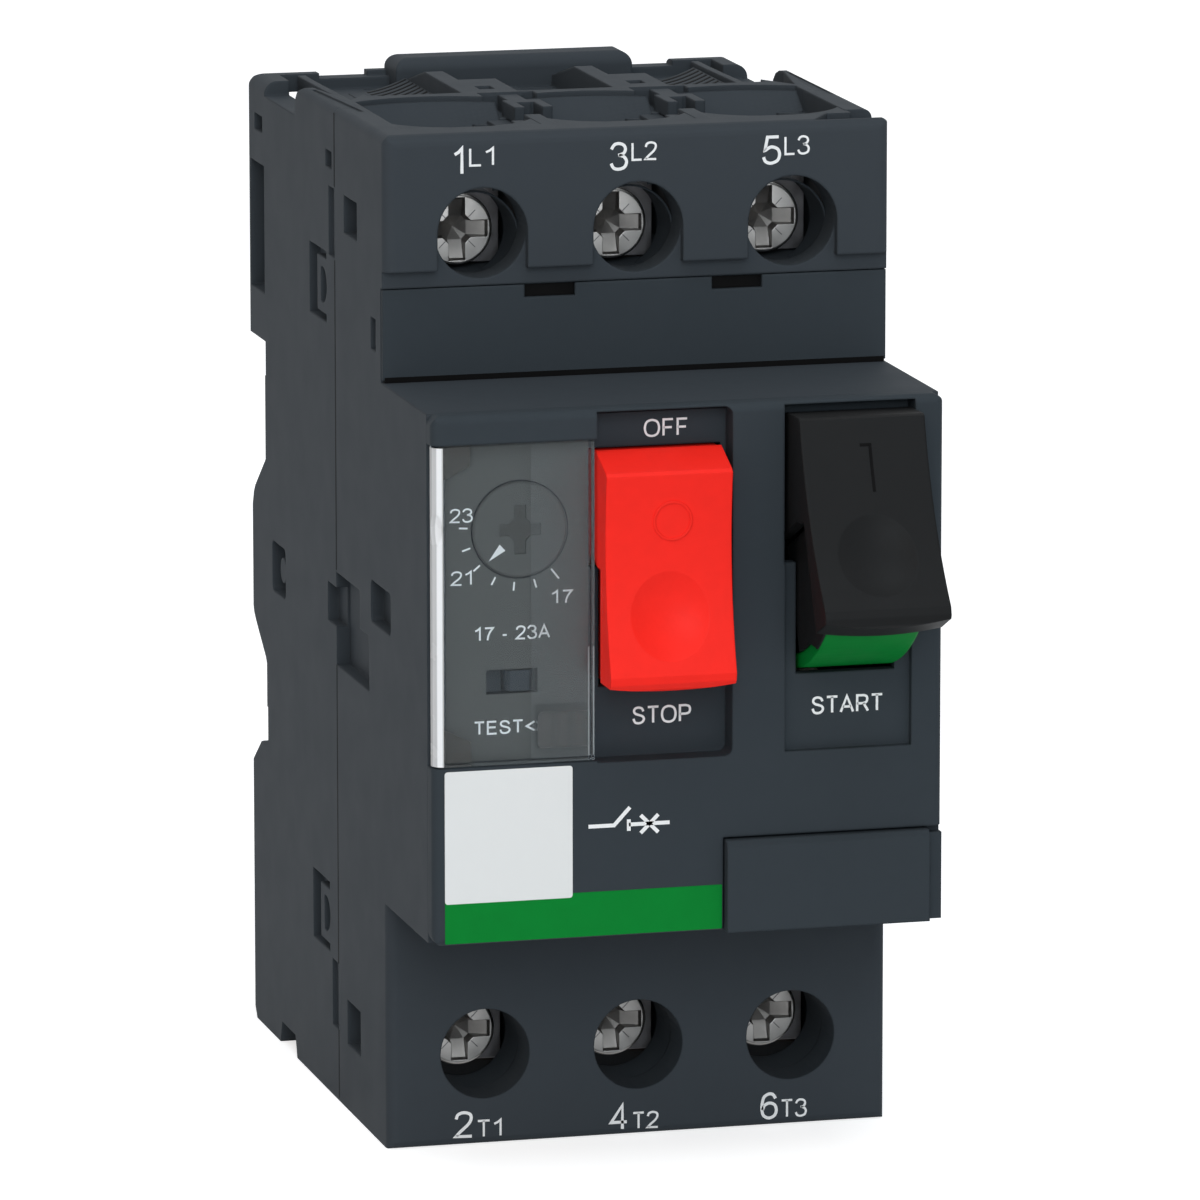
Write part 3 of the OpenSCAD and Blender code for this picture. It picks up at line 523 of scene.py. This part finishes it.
def smooth(points, steps=5):
    """Catmull-Rom curve through the points; a closed one when the ends meet."""
    closed = (points[0] - points[-1]).length < 1e-6
    body = points[:-1] if closed else points
    n = len(body)

    def at(k):
        return body[k % n] if closed else body[max(0, min(n - 1, k))]

    out = []
    for k in range(n if closed else n - 1):
        a, b, c, d = at(k - 1), at(k), at(k + 1), at(k + 2)
        for s in range(steps):
            t = s / steps
            out.append(0.5 * (2 * b + (c - a) * t + (2 * a - 5 * b + 4 * c - d) * t * t
                              + (3 * b - a - 3 * c + d) * t * t * t))
    out.append(at(n) if closed else body[-1])
    return out


def glyph_strokes(char):
    """A glyph's strokes as lists of points; strokes that meet become one."""
    strokes = []
    for chunk in GLYPHS[char][1].replace("~", "\n~").replace("|", "\n|").split("\n"):
        if not chunk.strip():
            continue
        pts = [Vector((float(a), float(b))) for a, b in (p.split(",") for p in chunk[1:].split())]
        if chunk[0] == "~":
            pts = smooth(pts)
        if strokes and (strokes[-1][-1] - pts[0]).length < 0.02:
            strokes[-1] = strokes[-1] + pts[1:]
        else:
            strokes.append(pts)
    return strokes


def write(bm, text, box, y, stroke):
    """Text at y whose ink fills the box (x0, x1, z0, z1)."""
    x0, x1, z0, z1 = box
    lines = []
    pen = 0.0
    for char in text:
        lines += [[Vector((pen + p.x, p.y)) for p in pts] for pts in glyph_strokes(char)]
        pen += GLYPHS[char][0] + LETTER_GAP
    left = min(p.x for line in lines for p in line)
    right = max(p.x for line in lines for p in line)
    wide = (x1 - x0 - stroke) / (right - left)
    height = z1 - z0 - stroke
    for line in lines:
        pts = [Vector((x0 + stroke / 2 + (p.x - left) * wide, z0 + stroke / 2 + p.y * height))
               for p in line]
        ribbon(bm, pts, stroke, on_front(y), INK_THICK)


# ---------------------------------------------------------------- printed marks

# Ink boxes of the terminal marks: x0 and x1 from the pole's middle, then z0 and z1.
TERMINAL_BOXES = {
    "1": (-2.6, -1.7, 40.05, 42.5), "L1": (-1.2, 1.0, 40.75, 42.4),
    "3": (-2.57, -0.93, 39.9, 42.4), "L2": (-0.63, 1.66, 40.7, 42.35),
    "5": (-2.78, -1.08, 39.9, 42.45), "L3": (-0.78, 1.5, 40.68, 42.37),
    "2": (-2.79, -1.09, -44.75, -42.33), "T1": (-0.77, 1.46, -44.8, -43.2),
    "4": (-2.6, -0.91, -44.97, -42.55), "T2": (-0.55, 1.86, -44.95, -43.38),
    "6": (-2.71, -1.12, -44.82, -42.4), "T3": (-0.85, 1.54, -44.77, -43.1),
}
TERMINAL_MARKS = {"line": ("1 L1", "3 L2", "5 L3"), "load": ("2 T1", "4 T2", "6 T3")}


def terminal_marks():
    """The terminals' number and letter on the front of each block."""
    for row, marks in TERMINAL_MARKS.items():
        for i, mark in enumerate(marks):
            bm = bmesh.new()
            for text, stroke in zip(mark.split(), (0.27, 0.19)):
                x0, x1, z0, z1 = TERMINAL_BOXES[text]
                write(bm, text, (POLES[i] + x0, POLES[i] + x1, z0, z1), BLOCK_Y, stroke)
            add(f"{row}_mark_{i + 1}", mesh_from(bm, "mark"), "case", INK)


def front_marks():
    """Words beside the buttons, and the words and numbers round the dial."""
    for name, text, box, y, stroke in (
            ("off_word", "OFF", (-3.4, 0.5, 19.2, 20.77), FIELD_Y, 0.19),
            ("stop_word", "STOP", (-4.4, 0.8, -5.65, -4.08), FIELD_Y, 0.2),
            ("start_word", "START", (11.0, 17.4, -5.25, -3.67), START_PLATE_Y, 0.21),
            ("test_word", "TEST<", (-18.36, -12.95, -5.85, -4.64), SCALE_Y, 0.17),
            ("range_word", "17 - 23A", (-18.28, -11.64, 2.27, 3.5), SCALE_Y, 0.16),
            ("dial_high", "23", (-20.4, -18.38, 12.58, 13.82), SCALE_Y, 0.15),
            ("dial_middle", "21", (-20.32, -18.49, 7.17, 8.44), SCALE_Y, 0.15),
            ("dial_low", "17", (-11.54, -9.66, 5.19, 6.41), SCALE_Y, 0.15)):
        bm = bmesh.new()
        write(bm, text, box, y, stroke)
        ink_used = INK_LIT_UNDER_COVER if y == SCALE_Y else INK
        add(name, mesh_from(bm, name), "case", ink_used)


def breaker_symbol():
    """Breaker contact and cross, drawn as wiring diagrams draw them."""
    lines = (((-8.9, -13.8), (-6.65, -13.8), (-5.25, -12.3)), ((-5.35, -13.35), (-5.35, -14.35)),
             ((-5.35, -13.8), (-1.75, -13.8)), ((-4.3, -13.05), (-2.75, -14.6)),
             ((-4.3, -14.6), (-2.75, -13.05)))
    bm = bmesh.new()
    for line in lines:
        ribbon(bm, [Vector(p) for p in line], 0.33, on_front(FRONT_Y), INK_THICK)
    add("breaker_symbol", mesh_from(bm, "breaker_symbol"), "case", INK)


def labels():
    """The blank white label, the bare green stripe, and the symbol beside them."""
    bm = bmesh.new()
    plate(bm, -21.5, -10.3, -19.9, -8.4, FRONT_Y, thick=0.06, r=0.25)
    add("side_label", mesh_from(bm, "side_label"), "case", LABEL)
    bm = bmesh.new()
    plate(bm, -21.5, 2.9, -23.35, -19.5, FRONT_Y, thick=0.04, r=0.1)
    add("green_stripe", mesh_from(bm, "green_stripe"), "case", STRIPE)
    breaker_symbol()


# ---------------------------------------------------------------- setting dial

DIAL_RIM_R = 3.82
DIAL_EDGE_R = 0.3
DIAL_SKIRT = 0.5
DIAL_SLOT_DEPTH = 0.24
TICK_FIRST, TICK_STEP, TICKS = 176.5, 21.9, 7


def scale_plate():
    """The pale plate under the clear cover, open round the dial and the test slot."""
    flat_piece("scale_plate", [rect(-20.95, -8.3, -8.1, 19.6), circle(DIAL_X, DIAL_Z, 4.28),
                               rect(-17.25, -12.75, -2.35, -0.25)],
               SCALE_Y, 0.03, "case", SCALE)


def dial_face():
    """Rounded top of the setting dial, with the wide cross that a screwdriver fits; a darker grey
    cross floor paints the shade in the cross recess, and a dark ring paints the shade in the gap
    round the dial.
    """
    cross = cross_outline(DIAL_X, DIAL_Z, across=1.8, up=2.1, wide=0.5, inner=0.95)
    # painted shade: the cross floor is a darker copy of the dial grey
    flat_piece("dial_cross", [cross], DIAL_FLOOR_Y, 0.04, "dial", CROSS_SHADE)
    # painted shade: a dark ring in the gap between the dial and the plate
    flat_piece("dial_gap", [circle(DIAL_X, DIAL_Z, 4.27), circle(DIAL_X, DIAL_Z, 4.14)],
               DIAL_FLOOR_Y, 0.05, "case", GAP_SHADE)
    bm = bmesh.new()
    rows = []
    for k in range(6):
        a = math.radians(18 * k)
        outline = circle(DIAL_X, DIAL_Z, DIAL_RIM_R + DIAL_EDGE_R * math.cos(a))
        rows.append(verts_at(bm, outline, DIAL_FACE_Y + DIAL_EDGE_R * (1 - math.sin(a))))
    rows.insert(0, [bm.verts.new(v.co + Vector((0, DIAL_SKIRT * MM, 0))) for v in rows[0]])
    for a, b in zip(rows, rows[1:]):
        wall(bm, a, b)
    slot = verts_at(bm, cross, DIAL_FACE_Y)
    foot = [bm.verts.new(v.co + Vector((0, DIAL_SLOT_DEPTH * MM, 0))) for v in slot]
    fill(bm, [rows[-1], slot])
    wall(bm, slot, foot)
    add("dial_face", mesh_from(bm, "dial_face"), "dial", DIAL)


def dial_marks():
    """Scale ticks round the dial, the last one longer, and the pointer on its face."""
    bm = bmesh.new()
    for k in range(TICKS):
        a = math.radians(TICK_FIRST + TICK_STEP * k)
        radii = (4.5, 5.6) if k == TICKS - 1 else (4.55, 5.3)
        start, end = [(DIAL_X + r * math.cos(a), DIAL_Z + r * math.sin(a)) for r in radii]
        bar(bm, start, end, SCALE_Y, 0.15)
    add("dial_ticks", mesh_from(bm, "dial_ticks"), "case", INK_LIT_UNDER_COVER)
    flat_piece("dial_pointer", [[(-17.05, 9.2), (-15.6, 10.05), (-16.1, 10.6)]],
               DIAL_FACE_Y - 0.02, 0.06, "dial", INK_LIT_UNDER_COVER)


# ---------------------------------------------------------------- rocker marks

# The rockers' hollow faces lie on one wide cylinder, and a ball cuts a dimple in each.
FACE_Y, FACE_Z, FACE_R = -103.0, 11.3, 37.0
DIMPLE_Y, DIMPLE_Z, DIMPLE_R = -73.69, 6.0, 8.0
STOP_DIMPLE_X, START_DIMPLE_X = -2.555, 14.245
AXLE_Y, AXLE_Z = middle("button_axle")[1:]
START_ANGLE = math.radians(24.1)


def on_rocker(angle, dimple_x):
    """Maps (x, z, height) on a pressed rocker's face to its place once turned by the angle."""
    c, s = math.cos(angle), math.sin(angle)

    def place(x, z, h):
        y = FACE_Y + math.sqrt(FACE_R ** 2 - (z - FACE_Z) ** 2)
        deep = DIMPLE_R ** 2 - (x - dimple_x) ** 2 - (z - DIMPLE_Z) ** 2
        if deep > 0:
            y = max(y, DIMPLE_Y + math.sqrt(deep))
        dy, dz = y - h - AXLE_Y, z - AXLE_Z
        return Vector((x, AXLE_Y + dy * c + dz * s, AXLE_Z - dy * s + dz * c)) * MM

    return place


def rocker_marks():
    """The raised ring on the off button and the stroke on the on button."""
    bm = bmesh.new()
    ring_mark(bm, x=-2.2, z=12.86, r=1.75, width=0.26, place=on_rocker(0, STOP_DIMPLE_X))
    add("off_ring", mesh_from(bm, "off_ring"), "stop_rocker", RED)
    bm = bmesh.new()
    # points along the straight runs let the stroke follow the curved face
    stroke = [Vector(p) for p in ((13.86, 14.6), (14.3, 14.6), (14.74, 14.6), (14.74, 13.2),
                                  (14.74, 11.9), (14.74, 10.51))]
    ribbon(bm, stroke, width=0.26, place=on_rocker(START_ANGLE, START_DIMPLE_X), thick=0.04)
    add("on_stroke", mesh_from(bm, "on_stroke"), "start_rocker", SHADE_AND_MARK_BLACK)


# ---------------------------------------------------------------- terminal screws

SCREW_HEAD_Y = box_mm("line_screw_1")[0][1]
SCREW_END_Y = box_mm("line_screw_1")[1][1]
SCREW_NECK_Y = SCREW_HEAD_Y + 2.4
SHAFT_R, HEAD_R, CHAMFER_R, TOP_R = 1.9, 3.19, 3.08, 2.92
END_DEEP, ARM_DEEP, TIP_DEEP = 0.45, 1.1, 1.75
# Both are darker steels that paint shade: in the cross recess, and on the head's side.
CUT, SIDE = 1, 2    # places of RECESS_SHADE and SHADED among a screw's materials


def screw_solid(bm, x, z):
    """Shaft and chamfered head; returns the ring round the head's open top."""
    shape = ((SHAFT_R, SCREW_END_Y), (SHAFT_R, SCREW_NECK_Y), (HEAD_R, SCREW_NECK_Y),
             (HEAD_R, SCREW_HEAD_Y + 0.32), (CHAMFER_R, SCREW_HEAD_Y + 0.1), (TOP_R, SCREW_HEAD_Y))
    end, neck, lip, side, slope, rim = [verts_at(bm, circle(x, z, r), y) for r, y in shape]
    fill(bm, [end])
    wall(bm, end, neck)
    fill(bm, [neck, lip])
    # painted shade: the head's side takes the near-black steel
    wall(bm, lip, side, SIDE)
    wall(bm, side, slope, SIDE)
    wall(bm, slope, rim)
    return rim


def screw_recess(bm, x, z, rim):
    """The head's top, with a cross whose arms slope down to a point in the middle."""
    mouth = cross_outline(x, z, across=2.76, up=2.76, wide=0.74, inner=1.25)
    foot = cross_outline(x, z, across=2.6, up=2.6, wide=0.64, inner=1.05)
    top = verts_at(bm, mouth, SCREW_HEAD_Y)
    fill(bm, [rim, top])
    low = verts_at(bm, foot, SCREW_HEAD_Y)
    for k, v in enumerate(low):
        v.co.y += (END_DEEP if k % 4 in (1, 2) else ARM_DEEP) * MM
    # painted shade: the recess faces take the darker recess steel
    wall(bm, top, low, CUT)
    tip = bm.verts.new(Vector((x, SCREW_HEAD_Y + TIP_DEEP, z)) * MM)
    ring = []
    for k in range(0, 16, 4):
        bm.faces.new(low[k:k + 4]).material_index = CUT
        ring += [low[k], low[k + 3]]
    for k in range(8):
        bm.faces.new((ring[k - 1], ring[k], tip)).material_index = CUT


def screw_ticks(x, z):
    """Four short strokes between the arms of the cross."""
    bm = bmesh.new()
    for k in range(4):
        a = math.radians(45 + 90 * k)
        start, end = [(x + r * math.cos(a), z + r * math.sin(a)) for r in (1.45, 2.3)]
        bar(bm, start, end, SCREW_HEAD_Y, 0.08)
    return mesh_from(bm, "ticks")


def screw_guide(x, z):
    """Guide bore between the block's front wall and the screw head."""
    bm = bmesh.new()
    rings = [verts_at(bm, circle(x, z, r), y) for r, y in ((4.02, -42.6), (4.02, -37.6),
                                                           (4.2, -37.6), (4.2, -42.6))]
    for k in range(4):
        wall(bm, rings[k - 1], rings[k])
    return mesh_from(bm, "guide")


def screws():
    """The six terminal screws, each in the place of its CAD screw."""
    for row in ("line", "load"):
        for i in (1, 2, 3):
            x, _, z = middle(f"{row}_screw_{i}")
            body = f"{row}_screw_body_{i}"
            bm = bmesh.new()
            screw_recess(bm, x, z, screw_solid(bm, x, z))
            head = add(f"{row}_screw_detail_{i}", mesh_from(bm, "screw"), body, SCREW)
            head.data.materials.append(RECESS_SHADE)
            head.data.materials.append(SHADED)
            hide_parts(f"{row}_screw_{i}")
            add(f"{row}_screw_ticks_{i}", screw_ticks(x, z), body, DARK)
            add(f"{row}_screw_guide_{i}", screw_guide(x, z), "case", CASE)


# ---------------------------------------------------------------- housing

NOTCH_X = (-9.9, 6.8)
NOTCH_Y = -45.2
COVER_GAP_Y = -45.63


def dark_gaps():
    """The deep shade in the pry notches of the blanking cover and in the gap below it."""
    for k, x in enumerate(NOTCH_X):
        flat_piece(f"notch_shade_{k + 1}", [rect(x + 0.03, x + 4.47, 29.13, 30.15)],
                   NOTCH_Y, 0.08, "case", SHADE_AND_MARK_BLACK)
    flat_piece("cover_gap_shade", [rect(-22.3, 22.3, 22.12, 22.6)],
               COVER_GAP_Y, 0.2, "case", SHADE_AND_MARK_BLACK)


SPLIT_WIDTH = 0.3
SPLIT_PROUD = 0.015
SPLIT_STEP = 0.25
SHORTEST_RUN = 0.6
WALL_SLACK = 0.08
OUTSIDE_X = 30


def wall_is_whole(trees, side, z):
    """True where rays from the side meet the outer wall on both edges of the joint."""
    for y in (SPLIT_Y - SPLIT_WIDTH / 2, SPLIT_Y + SPLIT_WIDTH / 2):
        start = Vector((side * OUTSIDE_X, y, z)) * MM
        hits = [tree.ray_cast(start, Vector((-side, 0, 0)))[0] for tree in trees]
        outer = max((side * hit.x for hit in hits if hit is not None), default=0)
        if outer <= (HALF_WIDTH - WALL_SLACK) * MM:
            return False
    return True


def whole_runs(trees, side):
    """Stretches of height, as [z0, z1], over which a side wall is whole at the joint."""
    runs = []
    for k in range(round((TOP_Z - FOOT_Z) / SPLIT_STEP) + 1):
        z = FOOT_Z + SPLIT_STEP * k
        if not wall_is_whole(trees, side, z):
            continue
        if runs and z - runs[-1][1] < 1.2 * SPLIT_STEP:
            runs[-1][1] = z
        else:
            runs.append([z, z])
    return runs


def split_line():
    """The dark joint between the two housings, on both sides, where the wall is whole."""
    graph = bpy.context.evaluated_depsgraph_get()
    trees = [BVHTree.FromObject(NODES[name], graph) for name in ("front_housing", "rear_housing")]
    for side, name in ((-1, "left"), (1, "right")):
        bm = bmesh.new()
        for z0, z1 in whole_runs(trees, side):
            if z1 - z0 > SHORTEST_RUN:
                ribbon(bm, [Vector((SPLIT_Y, z0)), Vector((SPLIT_Y, z1))], SPLIT_WIDTH,
                       on_side(side), SPLIT_PROUD)
        add(f"split_line_{name}", mesh_from(bm, "split_line"), "case", SHADE_AND_MARK_BLACK)


# Seen from above, a wire well is round about WELL_Y, with flat sides and a sloping back.
WELL_Y = -35.2
WELL_HALF = 6.35
WELL_FRONT_R = 7.15
WELL_FRONT_Y = -42.38
WELL_FLOOR_Z = 39.05
SLOPE_HALF = 6.3
SLOPE_FOOT_R, SLOPE_TOP_R = 7.4, 11.4
SLOPE_FOOT_Y, SLOPE_TOP_Y = -27.85, -22.76
SLOPE_FOOT_Z, SLOPE_TOP_Z, SLOPE_RISE = 39.8, 43.3, 0.857


def well_corners(i, x):
    """The rounded front corners of a wire well."""
    bm = bmesh.new()
    for side in (-1, 1):
        outline = [(x + side * WELL_HALF, WELL_FRONT_Y), (x + side * 0.2, WELL_FRONT_Y)]
        for k in range(1, 13):
            dx = WELL_HALF * k / 12
            outline.append((x + side * dx, WELL_Y - math.sqrt(WELL_FRONT_R ** 2 - dx ** 2)))
        prism(bm, outline, WELL_FLOOR_Z, TOP_Z - 0.04)
    add(f"well_corners_{i}", mesh_from(bm, "corners"), "case", CASE)


def well_slope(i, x):
    """The cone-shaped back of a wire well."""
    columns = []
    for k in range(25):
        dx = SLOPE_HALF * (k / 12 - 1)
        y0 = max(SLOPE_FOOT_Y, WELL_Y + math.sqrt(SLOPE_FOOT_R ** 2 - dx ** 2))
        y1 = min(SLOPE_TOP_Y, WELL_Y + math.sqrt(SLOPE_TOP_R ** 2 - dx ** 2))
        columns.append([(x + dx, y0 + (y1 - y0) * j / 8) for j in range(9)])

    def cone(px, py):
        away = math.hypot(px - x, py - WELL_Y) - SLOPE_FOOT_R
        return min(SLOPE_TOP_Z, SLOPE_FOOT_Z + SLOPE_RISE * away)

    bm = bmesh.new()
    sheet(bm, columns, cone, 0.04)
    add(f"well_slope_{i}", mesh_from(bm, "slope"), "case", CASE)


def wells():
    """The three wire wells in the top of the housing."""
    for i, x in enumerate(POLES):
        well_corners(i + 1, x)
        well_slope(i + 1, x)


def vent(name, x0, x1):
    """A curved floor from x0 to x1 with eight dark louvre slits on it; the slits are near-black
    sheets, painted shade of the louvre openings.
    """
    wide = x1 - x0
    foot_z, rise, proud = 40.64, 1.25, 0.03
    slits, pitch, first_y, slit_wide = 8, 1.35, -10.3, 0.45

    def curve(x, y):
        return foot_z + rise * ((x - x0) / wide) ** 2

    bm = bmesh.new()
    columns = [[(x0 + wide * k / 12, y) for y in (-11.6, -6.0, 0.2)] for k in range(13)]
    sheet(bm, columns, curve, 0.03)
    add(f"vent_floor_{name}", mesh_from(bm, "vent"), "case", CASE)
    bm = bmesh.new()
    for row in range(slits):
        y = first_y + pitch * row
        columns = [[(x0 + wide * (0.3 + 0.68 * k / 8), y + d) for d in (0, slit_wide)]
                   for k in range(9)]
        sheet(bm, columns, lambda a, b: curve(a, b) + proud, 0.05)
    # painted shade: near-black sheets where the louvre openings are dark
    add(f"vent_slits_{name}", mesh_from(bm, "slits"), "case", SHADE_AND_MARK_BLACK)


def vents():
    """The vents beside the deck posts, behind the wire wells."""
    vent("left", -14.6, -9.35)
    vent("right", 12.5, 17.6)


# ---------------------------------------------------------------- dial window

HINGE_X, HINGE_Y, HINGE_R = -21.4, -62.4, 1.02
EDGE_LOW, EDGE_LONG, EDGE_TURN = -7.97, 27.44, 11.7
SCOOP = Vector((-24.2, -64.6, 12.5))
SCOOP_R = 2.9
EDGE_PROUD = 0.02


def scooped(p):
    """The point itself, or its place on the ball that cuts the thumb scoop."""
    d = p - SCOOP
    if d.length >= SCOOP_R + EDGE_PROUD:
        return p
    flat = Vector((d.x, d.y, 0))
    reach = math.sqrt(max(0, (SCOOP_R - EDGE_PROUD) ** 2 - d.z ** 2))
    return SCOOP + flat.normalized() * reach + Vector((0, 0, d.z))


def window_edge():
    """The moulded edge of the dial window along its hinge, with the thumb scoop, made bright by
    painted highlight bands.
    """
    outline = [(-22.42, -62.35)]
    for k in range(8):
        a = math.radians(180 + EDGE_TURN * k)
        outline.append((HINGE_X + HINGE_R * math.cos(a), HINGE_Y + HINGE_R * math.sin(a)))
    bm = bmesh.new()
    heights = [EDGE_LOW + EDGE_LONG * k / 120 for k in range(121)]
    rows = [[bm.verts.new(scooped(Vector((x, y, z))) * MM) for x, y in outline] for z in heights]
    for a, b in zip(rows, rows[1:]):
        for k in range(len(outline) - 1):
            bm.faces.new((a[k], a[k + 1], b[k + 1], b[k]))
    obj = add("window_edge", mesh_from(bm, "window_edge"), "window", EDGE)
    thick = obj.modifiers.new("thick", "SOLIDIFY")
    thick.thickness = 0.04 * MM
    thick.offset = 0


def window_tints():
    """Gussets, latch and band moulded into the window, behind its clear front, and a pale strip
    that paints the highlight along its right edge.
    """
    for name, z0, z1, slope in (("low", -7.9, -4.8, 1.35), ("high", 19.4, 16.3, -1.35)):
        outline = [(-21.6, z0), (-21.6, z1), (-18.85, z1 - slope), (-18.85, z0)]
        flat_piece(f"window_gusset_{name}", [outline], -62.14, 0.08, "window", TINT)
    latch = [(-12.75, -7.0), (-8.6, -7.0), (-8.6, -3.95), (-12.7, -3.85), (-13.0, -4.15),
             (-13.05, -6.7)]
    post = [(-11.15, -6.7), (-10.7, -6.85), (-10.5, -4.2), (-10.95, -4.1)]
    for name, outline, y, thick, look in (
            ("latch_tint", latch, -62.16, 0.03, TINT),
            ("latch_post_1", post, -62.11, 0.03, POST),
            ("latch_post_2", rect(-9.6, -9.0, -6.8, -4.2), -62.11, 0.03, POST),
            # painted highlight along the window's right edge
            ("right_edge_highlight", rect(-8.62, -8.5, -7.8, 1.6), -62.24, 0.03, RIM_HIGHLIGHT),
            ("band", rect(-13.6, -8.45, -7.9, 19.4), -62.2, 0.02, BAND)):
        flat_piece(f"window_{name}", [outline], y, thick, "window", look)


# ---------------------------------------------------------------- floor, lights, camera

SEEN_RAYS = ("Is Camera Ray", "Is Transmission Ray", "Is Glossy Ray")


def any_of(tree, *rays):
    """Socket that is 1 for rays of the named kinds and 0 for all others."""
    path = tree.nodes.new("ShaderNodeLightPath")
    found = path.outputs[rays[0]]
    for ray in rays[1:]:
        either = tree.nodes.new("ShaderNodeMath")
        either.operation = "MAXIMUM"
        tree.links.new(found, either.inputs[0])
        tree.links.new(path.outputs[ray], either.inputs[1])
        found = either.outputs[0]
    return found


def floor():
    """White floor under the object, with a glow that only SEEN_RAYS meet."""
    bm = bmesh.new()
    bmesh.ops.create_grid(bm, x_segments=1, y_segments=1, size=6)
    mesh = bpy.data.meshes.new("floor")
    bm.to_mesh(mesh)
    bm.free()
    obj = bpy.data.objects.new("floor", mesh)
    bpy.context.scene.collection.objects.link(obj)
    obj.location.z = CAD_BOX[0][2]
    g = Graph("floor_white")
    g.varied((0.80, 0.80, 0.80), spread=0.01, scale=4.0)
    g.bsdf.inputs["Roughness"].default_value = 0.8
    glow = g.new("Math", operation="MULTIPLY")
    glow.inputs[1].default_value = 0.62
    g.link(any_of(g.tree, *SEEN_RAYS), glow.inputs[0])
    g.bsdf.inputs["Emission Color"].default_value = (1, 1, 1, 1)
    g.link(glow.outputs[0], g.bsdf.inputs["Emission Strength"])
    mesh.materials.append(g.mat)


def world():
    """Soft bluish fill light, which is plain white to SEEN_RAYS."""
    studio = bpy.data.worlds.new("studio")
    bpy.context.scene.world = studio
    studio.use_nodes = True
    tree = studio.node_tree
    dim = tree.nodes["Background"]
    dim.inputs["Color"].default_value = (0.92, 0.95, 1.0, 1)
    dim.inputs["Strength"].default_value = 0.35
    white = tree.nodes.new("ShaderNodeBackground")
    white.inputs["Color"].default_value = (1, 1, 1, 1)
    white.inputs["Strength"].default_value = 1.0
    mix = tree.nodes.new("ShaderNodeMixShader")
    tree.links.new(any_of(tree, *SEEN_RAYS), mix.inputs["Fac"])
    tree.links.new(dim.outputs[0], mix.inputs[1])
    tree.links.new(white.outputs[0], mix.inputs[2])
    tree.links.new(mix.outputs[0], tree.nodes["World Output"].inputs["Surface"])


AIM = Vector((0, -0.03, 0))


def lamp(name, place, size, power, colour):
    """A square area lamp that points at AIM; its place and size are in metres."""
    data = bpy.data.lights.new(name, "AREA")
    data.shape = "RECTANGLE"
    data.size = size
    data.size_y = size
    data.energy = power
    data.color = colour
    obj = bpy.data.objects.new(name, data)
    bpy.context.scene.collection.objects.link(obj)
    obj.location = place
    obj.rotation_euler = (AIM - Vector(place)).to_track_quat("-Z", "Y").to_euler()


def camera():
    """Long lens from the front left and a little above; its place is in metres."""
    down, turn = 10.956, 14.857
    data = bpy.data.cameras.new("camera")
    data.lens = 298.98
    data.sensor_width = 36.0
    data.shift_x = -0.02201
    data.shift_y = -0.00557
    data.clip_start = 0.05
    data.clip_end = 20.0
    obj = bpy.data.objects.new("camera", data)
    bpy.context.scene.collection.objects.link(obj)
    obj.location = (-0.21840, -0.86574, 0.16697)
    obj.rotation_euler = Euler((math.radians(90 - down), 0, math.radians(-turn)), "XYZ")
    bpy.context.scene.camera = obj


# ---------------------------------------------------------------- the scene

dress_nodes()
terminal_marks()
front_marks()
scale_plate()
dial_face()
dial_marks()
rocker_marks()
labels()
screws()
dark_gaps()
wells()
vents()
split_line()
window_edge()
window_tints()
floor()
world()
lamp("key", (-0.9, -0.7, 0.9), size=0.7, power=2.2, colour=(1.0, 0.71, 0.50))
lamp("front", (-0.2, -1.4, 0.55), size=0.8, power=10.2, colour=(0.90, 0.96, 1.0))
lamp("top", (0.0, -0.35, 1.15), size=0.8, power=5.0, colour=(0.88, 0.95, 1.0))
camera()

scene = bpy.context.scene
scene.view_settings.view_transform = "Standard"
